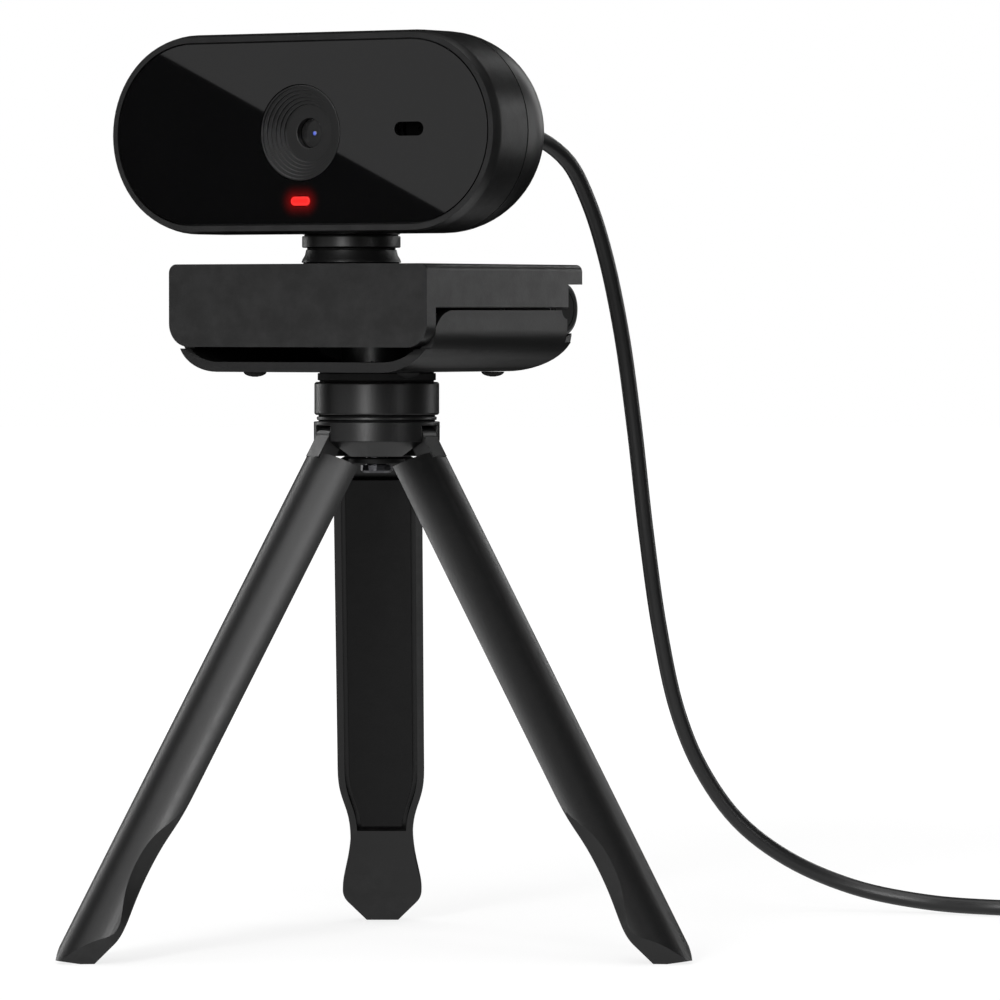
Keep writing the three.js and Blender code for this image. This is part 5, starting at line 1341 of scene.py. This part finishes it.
def add_lens(sizes):
    """The stepped hood, the front lens in its barrel's mouth, and the lit light pipe."""
    front, back = HOOD_AT.y - HOOD_SIZE.y / 2, HOOD_AT.y + HOOD_SIZE.y / 2
    outer = HOOD_SIZE.z / 2
    width, depth = sizes.hood_step_width / MM, sizes.hood_step_depth / MM
    aperture, rim = sizes.aperture_radius / MM, 0.35
    rings = []
    for i in range(sizes.hood_steps):
        radius = outer - rim - i * width
        rings += [(radius, front + i * depth), (radius, front + (i + 1) * depth)]
    floor = front + sizes.hood_steps * depth
    hood = as_object("hood_rings", spun(
        [(aperture, back), (outer, back), (outer, front), *rings, (aperture, floor)],
        "Y", steps=128, loop=True))
    put(hood, HEAD, "gloss_plastic", ["lens_hood"], edge=0.1, segments=2,
        material=finish_of("hood_plastic"))

    low, high = extent("microphone", HEAD)
    radius, port, deep = high.z - MIC_AT.z, 0.35, low.y + 0.5
    boot = as_object("mic_boot", spun(
        [(0, deep), (port, deep), (port, low.y), (radius, low.y), (radius, high.y), (0, high.y)],
        "Y", (MIC_AT.x, MIC_AT.z), steps=48))
    put(boot, HEAD, "dark_steel", ["microphone"], edge=0.1, segments=2,
        material=finish_of("black_felt"))

    low, high = extent("lens_glass", HEAD)
    radius, pupil, drop, steps = high.x, 0.45, 0.15, 6
    bulge = [(pupil * i / steps, low.y + drop * (i / steps) ** 2) for i in range(steps + 1)]
    lens = as_object("front_lens", spun(
        [*bulge, (pupil + 0.15, low.y + drop), (radius, low.y + 0.05), (radius, high.y),
         (0, high.y)], "Y", steps=96))
    put(lens, HEAD, "glass", ["lens_glass"], edge=0.05, segments=2)

    pipe = as_object("status_light", prism(
        slot_outline((LAMP_SIZE.x, LAMP_SIZE.z), (LAMP_AT.x, LAMP_AT.z)),
        LAMP_AT.y - LAMP_SIZE.y / 2, LAMP_AT.y + LAMP_SIZE.y / 2, "Y"))
    put(pipe, HEAD, "red_lens", ["light_pipe"], edge=0.18)


def add_strain_relief():
    """The ribbed rubber sleeve that the cable leaves the head through."""
    low, high = extent("strain_relief", HEAD)
    flange, root, tip = high.x, 2.9, 2.1
    flange_back, lead_in, plain, bore = low.y + 1.2, 0.9, 1.2, 1.53
    grooves, depth = 5, 0.38
    profile = [(0, low.y), (flange, low.y), (flange, flange_back), (root, flange_back),
               (root, HEAD_BACK + lead_in)]
    pitch = (high.y - plain - HEAD_BACK - lead_in) / grooves
    for k in range(grooves):
        start = HEAD_BACK + lead_in + pitch * k
        wide = root + (tip - root) * (k + 0.5) / grooves
        profile += [(wide - depth, start + 0.12), (wide - depth, start + 0.42 * pitch),
                    (wide, start + 0.54 * pitch), (wide - 0.05, start + pitch)]
    profile += [(tip, high.y - 0.4), (tip - 0.3, high.y), (bore, high.y),
                (bore, high.y - 3), (0, high.y - 3)]
    sleeve = as_object("cable_sleeve", spun(profile, "Y", steps=64))
    put(sleeve, HEAD, "rubber", ["strain_relief"], edge=0.1, segments=2)


def dress_inside():
    """Finishes for the pieces inside, which stay as the CAD model made them."""
    dress("matte_plastic", "lens_barrel", "lens_holder")
    dress("glass", "image_sensor")
    dress("circuit_board", "main_board")
    dress("red_lens", "status_led")
    dress("dark_steel", "housing_screw_left", "housing_screw_right",
          "swivel_screw", "pan_bolt")
    dress("steel", "board_screw_left", "board_screw_right", "swivel_post", "swivel_washer",
          "hinge_pin", "camera_screw", "leg_pin_left", "leg_pin_right", "leg_pin_rear")
    dress("brass", "thread_insert")


# ---- Neck and clip -----------------------------------------------------------------------

HINGE = WEBCAM.inverted() @ Vector(JOINTS["clip_fold"]["pos_m"])
NECK_AT = spot("neck_collar", WEBCAM)[0].xy
NECK_BORE = 3.5
HINGE_RADIUS = 4.7
PIN_BORE = 1.8
CAP_ROOM = 4.5
JAW_KNUCKLE_HALF = 17
CLIP_SPLIT = 0.4  # between the arm and the jaw
SPACER_PLAY = 0.03


def add_neck():
    """The tapered base on the clip, and the round collar under the head."""
    tapers = {"neck_base": ("neck_cone", ((0, 0), (0.22, 0.25), (0.65, 0.55), (0.9, 1))),
              "neck_collar": ("neck_disc", ((0, 0), (0, 1)))}
    for name, (piece, side) in tapers.items():
        low, high = extent(name, WEBCAM)
        wide, tall = (high.x - low.x) / 2, high.z - low.z
        side = [(wide - inset, low.z + share * tall) for inset, share in side]
        made = as_object(piece, spun([(NECK_BORE, low.z), *side, (NECK_BORE, high.z)], "Z",
                                     NECK_AT, steps=128, loop=True))
        put(made, WEBCAM, "satin_plastic", [name], edge=0.2, angle=25)


def add_spacers():
    """Thin rings that close the gaps under the head and on the tripod, set in from the edges."""
    stack = [("clip_arm", "neck_base", WEBCAM, NECK_AT, 8.7, NECK_BORE),
             ("neck_base", "neck_collar", WEBCAM, NECK_AT, 8.0, NECK_BORE),
             ("neck_collar", "front_housing", WEBCAM, NECK_AT, 8.5, NECK_BORE),
             ("tripod_hub", "pan_washer", TRIPOD, (0, 0), 10.6, PAN_BORE),
             ("pan_washer", "platform_collar", TRIPOD, (0, 0), 10.6, PAN_BORE),
             ("platform_collar", "platform_pad", TRIPOD, (0, 0), 10.4, PAD_BORE),
             ("platform_pad", "clip_jaw", TRIPOD, (0, 0), 10.4, 5.2)]
    for below, above, place, at, radius, bore in stack:
        low = extent(below, place)[1].z + SPACER_PLAY
        high = extent(above, place)[0].z - SPACER_PLAY
        ring = as_object("spacer_" + below, washer(bore, radius, low, high, at))
        put(ring, place, "matte_plastic", body=carried_by(below))


def add_clip_arm(sizes):
    """The upper arm of the clip with the flap in front and its two hinge knuckles."""
    low, high = extent("clip_arm", WEBCAM)
    half, wall = high.x, sizes.wall / MM
    bottom = HINGE.z + CLIP_SPLIT / 2
    roof = high.z - wall
    flap_back = low.y + sizes.flap_thickness / MM
    knuckle_end = half - 1
    arm = as_object("upper_arm", prism(plate(-half, half, bottom, high.z, 0.2, 1.3),
                                       low.y + 0.3, high.y, "Y"))
    carve(arm, "DIFFERENCE",
          block((wall - half, flap_back, bottom - OVERRUN), (half - wall, high.y - wall, roof)),
          block((-half - OVERRUN, HINGE.y, bottom - OVERRUN),
                (half + OVERRUN, high.y + OVERRUN, high.z - sizes.overhang_depth / MM)))
    web_front = HINGE.y - HINGE_RADIUS + 0.1
    boss_radius, boss_height = 6, 2.4
    knuckles = JAW_KNUCKLE_HALF + SEAT_GAP, knuckle_end
    webs = [block((left, web_front, HINGE.z), (right, HINGE.y + 1, roof + wall / 2))
            for left, right in reversed(both_sides(*knuckles))]
    carve(arm, "UNION",
          prism(plate(-half, half, low.z, high.z, 4.2, 1.6, steps=10), low.y, flap_back, "Y"),
          rod(boss_radius, roof - boss_height, high.z - wall / 2, "Z", NECK_AT, steps=64),
          *webs, *[rod(HINGE_RADIUS, left, right, "X", HINGE.yz, steps=64)
                   for left, right in both_sides(*knuckles)])
    carve(arm, "DIFFERENCE",
          rod(NECK_BORE, bottom, high.z + OVERRUN, "Z", NECK_AT, steps=64),
          rod(PIN_BORE, -knuckle_end - SEAT_GAP, knuckle_end + SEAT_GAP, "X", HINGE.yz, steps=32),
          *[block((left, HINGE.y, bottom - 2 * CAP_ROOM),
                  (right, HINGE.y + CAP_ROOM, high.z - sizes.overhang_depth / MM))
            for left, right in reversed(both_sides(knuckle_end, 2 * half))])
    put(arm, WEBCAM, "satin_plastic", ["clip_arm"], edge=sizes.edge / MM)

    pad_low, pad_high = extent("flap_pad", WEBCAM)
    pad = as_object("grip_pad", block(pad_low, pad_high))
    count, groove = 4, 0.3
    pitch = (pad_high.z - pad_low.z) / count
    carve(pad, "DIFFERENCE", *[
        block((pad_low.x - OVERRUN, pad_high.y - groove, pad_low.z + pitch * (k + 0.8)),
              (pad_high.x + OVERRUN, pad_high.y + OVERRUN, pad_low.z + pitch * (k + 1.1)))
        for k in range(count - 1)])
    put(pad, WEBCAM, "rubber", ["flap_pad"], edge=0.12, segments=2)


def bent(start, bend, end, steps=10):
    """Points of a curve with one bend, without its first one."""
    start, bend, end = Vector(start), Vector(bend), Vector(end)
    return bezier(start, start.lerp(bend, 2 / 3), end.lerp(bend, 2 / 3), end, steps)


def jaw_section(sizes, inset, low, top, half):
    """The jaw's section across the clip: upright sides and wide, low corners."""
    wide = sizes.jaw_corner_width / MM - inset
    tall = sizes.jaw_corner_height / MM - inset
    half, low = half - inset, low + inset
    return [Vector((-half, top)),
            *arc((wide - half, low + tall), (wide, tall), 180, 270, 14),
            *arc((half - wide, low + tall), (wide, tall), 270, 360, 14),
            Vector((half, top))]


def jaw_side(low, top, front, rear):
    """The jaw from the side: its front leans back to the rims, its back is rounded under."""
    lean, tall, back = 8.4, top - low, 6.5
    return [Vector((front, low)),
            *bezier((front, low), (front + 1.0, low + 0.45 * tall), (front + 2.4, top),
                    (front + lean, top)),
            Vector((rear, top)), Vector((rear, low + back)),
            *bent((rear, low + back), (rear - 1.6, low + 1.2), (rear - back, low))]


def add_jaw(sizes):
    """The lower jaw: a shallow tray with its knuckle and the boss of the thread insert."""
    low, high = extent("clip_jaw", WEBCAM)
    half, wall = high.x, sizes.wall / MM
    top = HINGE.z - CLIP_SPLIT / 2
    front, rear = low.y, HINGE.y + 2.4
    flap = extent("clip_arm", WEBCAM)[0]
    side = jaw_side(low.z, top, front, rear)
    cheek = half - 0.6  # the side walls run on beside the hinge's barrel
    corner = 6  # half of the blocks that open the walls' ends
    jaw = as_object("lower_jaw", prism(jaw_section(sizes, 0, low.z, top, half), front, rear, "Y"))
    carve(jaw, "INTERSECT", prism(side, -2 * half, 2 * half, "X"))
    carve(jaw, "DIFFERENCE",
          prism(jaw_section(sizes, wall, low.z, top + OVERRUN, half), front - OVERRUN,
                HINGE.y - HINGE_RADIUS, "Y"),
          rod(HINGE_RADIUS + SEAT_GAP, -cheek, cheek, "X", HINGE.yz, steps=64),
          *[turned(block((-corner, 0, -corner), (corner, 2 * HINGE_RADIUS, corner)),
                   Matrix.Translation((side * (cheek + corner), HINGE.y, HINGE.z)))
            for side in (-1, 1)],
          block((-2 * half, front - 5, flap.z - SEAT_GAP),
                (2 * half, flap.y + sizes.flap_thickness / MM + SEAT_GAP, top + OVERRUN)))
    web = as_object("web", block(
        (-JAW_KNUCKLE_HALF, HINGE.y - HINGE_RADIUS + 0.1, low.z + wall / 2),
        (JAW_KNUCKLE_HALF, rear, HINGE.z)))
    carve(web, "INTERSECT", prism(side, -2 * half, 2 * half, "X"))
    insert = spot("thread_insert", WEBCAM)[1]
    insert_radius, boss_wall = insert.x / 2, 1.7
    boss_top = low.z + insert.z + SEAT_GAP + wall
    carve(jaw, "UNION", taken(web),
          rod(HINGE_RADIUS, -JAW_KNUCKLE_HALF, JAW_KNUCKLE_HALF, "X", HINGE.yz, steps=64),
          rod(insert_radius + boss_wall, low.z + wall / 2, boss_top, "Z", steps=64))
    carve(jaw, "DIFFERENCE",
          rod(insert_radius + SEAT_GAP, low.z - OVERRUN, boss_top - wall, "Z", steps=64),
          rod(PIN_BORE, -2 * half, 2 * half, "X", HINGE.yz, steps=32))
    put(jaw, WEBCAM, "satin_plastic", ["clip_jaw"], edge=sizes.edge / MM)

    for end in ("front", "rear"):
        for where in ("left", "right"):
            add_desk_foot(f"desk_foot_{end}_{where}")


def add_desk_foot(name):
    """A small domed rubber foot under the jaw."""
    low, high = extent(name, WEBCAM)
    radius, tall = (high.x - low.x) / 2, high.z - low.z
    at = ((low.x + high.x) / 2, (low.y + high.y) / 2)
    side = [(radius * math.cos(a), high.z - tall * math.sin(a))
            for a in (math.radians(15 * i) for i in range(6))]
    foot = as_object(name.replace("desk", "rubber"), spun(
        [(0, high.z), *side, (0.25 * radius, low.z), (0, low.z)], "Z", at, steps=40))
    put(foot, WEBCAM, "rubber", [name])


def add_hinge():
    """Thin discs on the ends of the hinge's barrel, each with a turned ring."""
    thickness, floor = 0.14, 0.04
    for where, sign in (("left", -1), ("right", 1)):
        name = "hinge_cap_" + where
        low, high = extent(name, WEBCAM)
        radius = (high.z - low.z) / 2
        inner = sign * (min(abs(low.x), abs(high.x)) - SEAT_GAP + 0.01)
        outer, ring = inner + sign * thickness, inner + sign * floor
        ring_outside, ring_inside = 0.8 * radius, 0.74 * radius
        cap = as_object("pin_cap_" + where, spun(
            [(0, inner), (radius, inner), (radius, outer), (ring_outside, outer),
             (ring_outside, ring), (ring_inside, ring), (ring_inside, outer), (0, outer)],
            "X", HINGE.yz, steps=80))
        put(cap, WEBCAM, "matte_plastic", [name], edge=0.04, segments=2)


# ---- Tripod ------------------------------------------------------------------------------

PIN = Vector(JOINTS["fold_rear"]["pos_m"])
PIN_HEIGHT = PIN.z / MM
PIN_CIRCLE = (PIN - Vector((UNDER_TRIPOD.x, UNDER_TRIPOD.y, PIN.z))).length / MM
LEG_AZIMUTHS = {"left": 210, "right": 330, "rear": 90}
PIN_HOLE = 0.9
PAN_BORE = 2.3
PAD_BORE = 3.4


def add_hub(sizes):
    """The hub with a slot for each leg's knuckle, and the cap below it."""
    low, high = extent("tripod_hub", TRIPOD)
    radius, cone, slot_depth, slot_roof = high.x, 7.4, 4.2, 0.65
    rim = PIN_HEIGHT - 0.9
    half = sizes.slot_width / MM / 2
    pin_end = extent("leg_pin_rear", leg_place("rear"))[1].y + 0.2
    hub = as_object("leg_hub", spun(
        [(PAN_BORE, low.z), (cone, low.z), (radius, rim), (radius, high.z),
         (PAN_BORE, high.z)], steps=144, loop=True))
    tools = []
    for azimuth in LEG_AZIMUTHS.values():
        turn = Matrix.Rotation(math.radians(azimuth), 4, "Z")
        tools.append(turned(block((PIN_CIRCLE - slot_depth, -half, low.z - OVERRUN),
                                  (radius + OVERRUN, half, high.z - slot_roof)), turn))
        pin_at = (PIN_CIRCLE, PIN_HEIGHT)
        tools.append(turned(rod(PIN_HOLE, -pin_end, pin_end, "Y", pin_at, steps=24), turn))
    carve(hub, "DIFFERENCE", *tools)
    put(hub, TRIPOD, "satin_plastic", ["tripod_hub"], edge=0.16, segments=2, angle=25)

    low, high = extent("hub_cap", TRIPOD)
    cap = as_object("hub_plug", washer(PAN_BORE, high.x, low.z, high.z))
    put(cap, TRIPOD, "matte_plastic", ["hub_cap"], edge=0.2)


def add_platform():
    """The turning collar, the thin ring under it and the rubber pad on top."""
    low, high = extent("platform_collar", TRIPOD)
    well, web = 7.8, 3.2
    collar = as_object("pan_collar", spun(
        [(PAN_BORE, low.z), (high.x, low.z), (high.x, high.z), (well, high.z),
         (well, low.z + web), (PAN_BORE, low.z + web)], steps=144, loop=True))
    put(collar, TRIPOD, "satin_plastic", ["platform_collar"], edge=0.45, segments=4, angle=25)

    low, high = extent("pan_washer", TRIPOD)
    ring = as_object("pan_ring", washer(PAN_BORE, high.x, low.z, high.z, steps=144))
    put(ring, TRIPOD, "satin_plastic", ["pan_washer"], edge=0.14, segments=2)

    low, high = extent("platform_pad", TRIPOD)
    grooves, first, pitch = [], 5, 1.4
    floor = high.z - 0.25
    for k in range(4):
        start = first + pitch * k
        grooves += [(start, high.z), (start + 0.15, floor), (start + 0.45, floor),
                    (start + 0.6, high.z)]
    pad = as_object("grip_ring", spun(
        [(PAD_BORE, low.z), (high.x, low.z), (high.x, high.z), *reversed(grooves),
         (PAD_BORE, high.z)], steps=128, loop=True))
    put(pad, TRIPOD, "rubber", ["platform_pad"], edge=0.12, segments=2, angle=40)


# A leg, in its own millimetres down from the pin
LEG_HALF_WIDTH = 8.15
LEG_INNER_FACE = -3.85
LEG_SHOULDER = 4
LEG_TAPER_START = 71
LEG_WAIST = 86.5
LEG_SPOON = 98.6
LEG_CONTACT = 105.9
LEG_TIP = 108.2
LEG_WAIST_HALF_WIDTH = 5.9
LEG_SPOON_HALF_WIDTH = 7.5
KNUCKLE_RADIUS = 1.65
KNUCKLE_WIDTH = 4.7
INLAY_TOP = 7.5
INLAY_END = 84.2
INLAY_GROOVE = 0.85
INLAY_THICKNESS = 0.75
FOOT_FLAT = 0.35
FOOT_RISE = math.radians(9.5)


def leg_outline(top, inset, end=None):
    """A leg's outline as seen square to its face, drawn in by an inset and cut at its end."""
    half, waist = LEG_HALF_WIDTH - inset, LEG_WAIST_HALF_WIDTH - inset
    spoon = LEG_SPOON_HALF_WIDTH - inset
    curve, flare = (LEG_WAIST - LEG_TAPER_START) / 2, (LEG_SPOON - LEG_WAIST) / 2
    side = [Vector((half, -top)), Vector((half, -LEG_TAPER_START))]
    side += bezier((half, -LEG_TAPER_START), (half, -LEG_TAPER_START - curve),
                   (waist, curve - LEG_WAIST), (waist, -LEG_WAIST))
    side += bezier((waist, -LEG_WAIST), (waist, -LEG_WAIST - flare),
                   (spoon, flare / 2 - LEG_SPOON), (spoon, -LEG_SPOON))
    side += bent((spoon, -LEG_SPOON), (spoon, -LEG_SPOON - 1.6), (spoon - 1, -LEG_SPOON - 2.8), 6)
    side.append(Vector((0, -LEG_TIP - 0.8)))
    if end is not None:
        kept = [point for point in side if point.y > -end]
        last, following = kept[-1], side[len(kept)]
        side = [*kept, last.lerp(following, (last.y + end) / (last.y - following.y))]
    mirrored = [Vector((-point.x, point.y)) for point in reversed(side) if point.x > 0]
    return side + mirrored


def foot_tools(place, upright):
    """What lies beyond a foot's end: below the table, and below the slope of the end."""
    to_leg = place.inverted() @ upright
    start = to_leg.inverted() @ Vector((LEG_INNER_FACE, 0, -LEG_CONTACT))
    size = 60
    floor = block((-2 * size, -size, -size), (2 * size, size, 0))
    slope = block((-size, -size, -size), (size, size, 0))
    at_floor = Matrix.Translation((start.x, 0, start.z + FOOT_FLAT))
    on_slope = Matrix.Translation(start) @ Matrix.Rotation(-FOOT_RISE, 4, "Y")
    return [turned(floor, to_leg @ at_floor), turned(slope, to_leg @ on_slope)]


def add_leg(side, sizes):
    """A leg shell with its knuckle and recess, and the inlay in it."""
    place = leg_place(side)
    azimuth = math.radians(LEG_AZIMUTHS[side])
    upright = (Matrix.Translation(JOINTS["fold_" + side]["pos_m"])
               @ Matrix.Rotation(azimuth, 4, "Z") @ Matrix.Scale(MM, 4))
    radius, lip, recess = (sizes.leg_arc / MM, sizes.leg_lip / MM, sizes.leg_recess / MM)
    reach = math.sqrt(radius ** 2 - LEG_HALF_WIDTH ** 2)
    spread = math.degrees(math.atan2(LEG_HALF_WIDTH, reach))
    ridge = LEG_INNER_FACE + radius - reach
    floor = LEG_INNER_FACE + recess
    knuckle = KNUCKLE_WIDTH / 2

    section = arc((LEG_INNER_FACE - reach, 0), (radius, radius), -spread, spread, 40)
    leg = as_object("leg_" + side, prism(section, -LEG_TIP, -LEG_SHOULDER, "Z"))
    carve(leg, "INTERSECT", prism(leg_outline(LEG_SHOULDER - 1, 0), LEG_INNER_FACE - 1,
                                  ridge + 1, "X"))
    carve(leg, "UNION",
          block((-KNUCKLE_RADIUS, -knuckle, -LEG_SHOULDER - 1), (ridge, knuckle, 0)),
          rod(KNUCKLE_RADIUS, -knuckle, knuckle, "Y"))
    carve(leg, "DIFFERENCE",
          prism(leg_outline(LEG_SHOULDER - 1, lip, INLAY_END + INLAY_GROOVE),
                LEG_INNER_FACE - 1, floor, "X"),
          rod(PIN_HOLE, -2 * knuckle, 2 * knuckle, "Y", steps=24),
          *foot_tools(place, upright))
    put(leg, place, "satin_plastic", ["leg_shell_" + side], edge=sizes.leg_edge / MM, angle=28)

    back = floor - SEAT_GAP
    panel = as_object("panel_" + side, prism(
        leg_outline(INLAY_TOP, lip + INLAY_GROOVE, INLAY_END), back - INLAY_THICKNESS, back, "X"))
    put(panel, place, "matte_plastic", ["leg_inlay_" + side], edge=0.12, segments=2)


# ---- Operators ---------------------------------------------------------------------------

class WEBCAM_OT_stage(bpy.types.Operator):
    """Camera, lights, world and floor"""
    bl_idname = "webcam.stage"
    bl_label = "Stage"

    def execute(self, context):
        add_stage(context.scene.webcam_studio)
        return {"FINISHED"}


class WEBCAM_OT_cable(bpy.types.Operator):
    """The cable with its coil, strap and plug"""
    bl_idname = "webcam.cable"
    bl_label = "Cable"

    def execute(self, context):
        add_cable(context.scene.webcam_cable)
        return {"FINISHED"}


class WEBCAM_OT_housings(bpy.types.Operator):
    """Front housing and domed rear shell"""
    bl_idname = "webcam.housings"
    bl_label = "Housings"

    def execute(self, context):
        add_front_housing(context.scene.webcam_head)
        add_rear_shell(context.scene.webcam_head)
        return {"FINISHED"}


class WEBCAM_OT_window(bpy.types.Operator):
    """Glossy window over the face"""
    bl_idname = "webcam.window"
    bl_label = "Window"

    def execute(self, context):
        add_window(context.scene.webcam_head)
        return {"FINISHED"}


class WEBCAM_OT_lens(bpy.types.Operator):
    """Stepped hood, front lens and status light"""
    bl_idname = "webcam.lens"
    bl_label = "Lens"

    def execute(self, context):
        add_lens(context.scene.webcam_head)
        return {"FINISHED"}


class WEBCAM_OT_inside(bpy.types.Operator):
    """Cable sleeve, and the finishes of the pieces inside"""
    bl_idname = "webcam.inside"
    bl_label = "Sleeve and inside"

    def execute(self, context):
        add_strain_relief()
        dress_inside()
        return {"FINISHED"}


class WEBCAM_OT_neck(bpy.types.Operator):
    """Tapered base and round collar under the head"""
    bl_idname = "webcam.neck"
    bl_label = "Neck"

    def execute(self, context):
        add_neck()
        add_spacers()
        return {"FINISHED"}


class WEBCAM_OT_clip_arm(bpy.types.Operator):
    """Upper arm of the clip with its flap and pad"""
    bl_idname = "webcam.clip_arm"
    bl_label = "Clip arm"

    def execute(self, context):
        add_clip_arm(context.scene.webcam_clip)
        return {"FINISHED"}


class WEBCAM_OT_jaw(bpy.types.Operator):
    """Lower jaw of the clip with its feet"""
    bl_idname = "webcam.jaw"
    bl_label = "Clip jaw"

    def execute(self, context):
        add_jaw(context.scene.webcam_clip)
        return {"FINISHED"}


class WEBCAM_OT_hinge(bpy.types.Operator):
    """Caps on the clip's hinge"""
    bl_idname = "webcam.hinge"
    bl_label = "Hinge caps"

    def execute(self, context):
        add_hinge()
        return {"FINISHED"}


class WEBCAM_OT_tripod_head(bpy.types.Operator):
    """Hub, collar, ring and pad of the tripod"""
    bl_idname = "webcam.tripod_head"
    bl_label = "Tripod head"

    def execute(self, context):
        add_hub(context.scene.webcam_tripod)
        add_platform()
        return {"FINISHED"}


class WEBCAM_OT_legs(bpy.types.Operator):
    """Three folding legs with their inlays"""
    bl_idname = "webcam.legs"
    bl_label = "Legs"

    def execute(self, context):
        for side in LEG_AZIMUTHS:
            add_leg(side, context.scene.webcam_tripod)
        return {"FINISHED"}


STEPS = (
    WEBCAM_OT_stage, WEBCAM_OT_cable, WEBCAM_OT_housings, WEBCAM_OT_window, WEBCAM_OT_lens,
    WEBCAM_OT_inside, WEBCAM_OT_neck, WEBCAM_OT_clip_arm, WEBCAM_OT_jaw, WEBCAM_OT_hinge,
    WEBCAM_OT_tripod_head, WEBCAM_OT_legs)

SETTINGS = {
    "webcam_finish": WebcamFinish, "webcam_head": WebcamHeadSizes,
    "webcam_clip": WebcamClipSizes, "webcam_tripod": WebcamTripodSizes,
    "webcam_cable": WebcamCableSizes, "webcam_studio": WebcamStudio}


class WEBCAM_PT_panel(bpy.types.Panel):
    """Settings and steps of the webcam"""
    bl_idname = "WEBCAM_PT_panel"
    bl_label = "Webcam on tripod"
    bl_space_type = "VIEW_3D"
    bl_region_type = "UI"
    bl_category = "Webcam"

    def draw(self, context):
        for label, group in SETTINGS.items():
            box = self.layout.box()
            box.label(text=group.__doc__)
            for setting in group.__annotations__:
                box.prop(getattr(context.scene, label), setting)
        for step in STEPS:
            self.layout.operator(step.bl_idname)


CLASSES = (*SETTINGS.values(), *STEPS, WEBCAM_PT_panel)


def register():
    """Adds the settings, the operators and the panel."""
    for kind in CLASSES:
        bpy.utils.register_class(kind)
    for label, group in SETTINGS.items():
        setattr(bpy.types.Scene, label, PointerProperty(type=group))


def unregister():
    """Takes the panel, the operators and the settings away."""
    for label in SETTINGS:
        delattr(bpy.types.Scene, label)
    for kind in reversed(CLASSES):
        bpy.utils.unregister_class(kind)


def main():
    """Builds the whole scene in order."""
    register()
    for step in STEPS:
        group, name = step.bl_idname.split(".")
        done = getattr(getattr(bpy.ops, group), name)()
        if done != {"FINISHED"}:
            raise RuntimeError(f"{step.bl_label} was not finished")


if __name__ == "__main__":
    main()
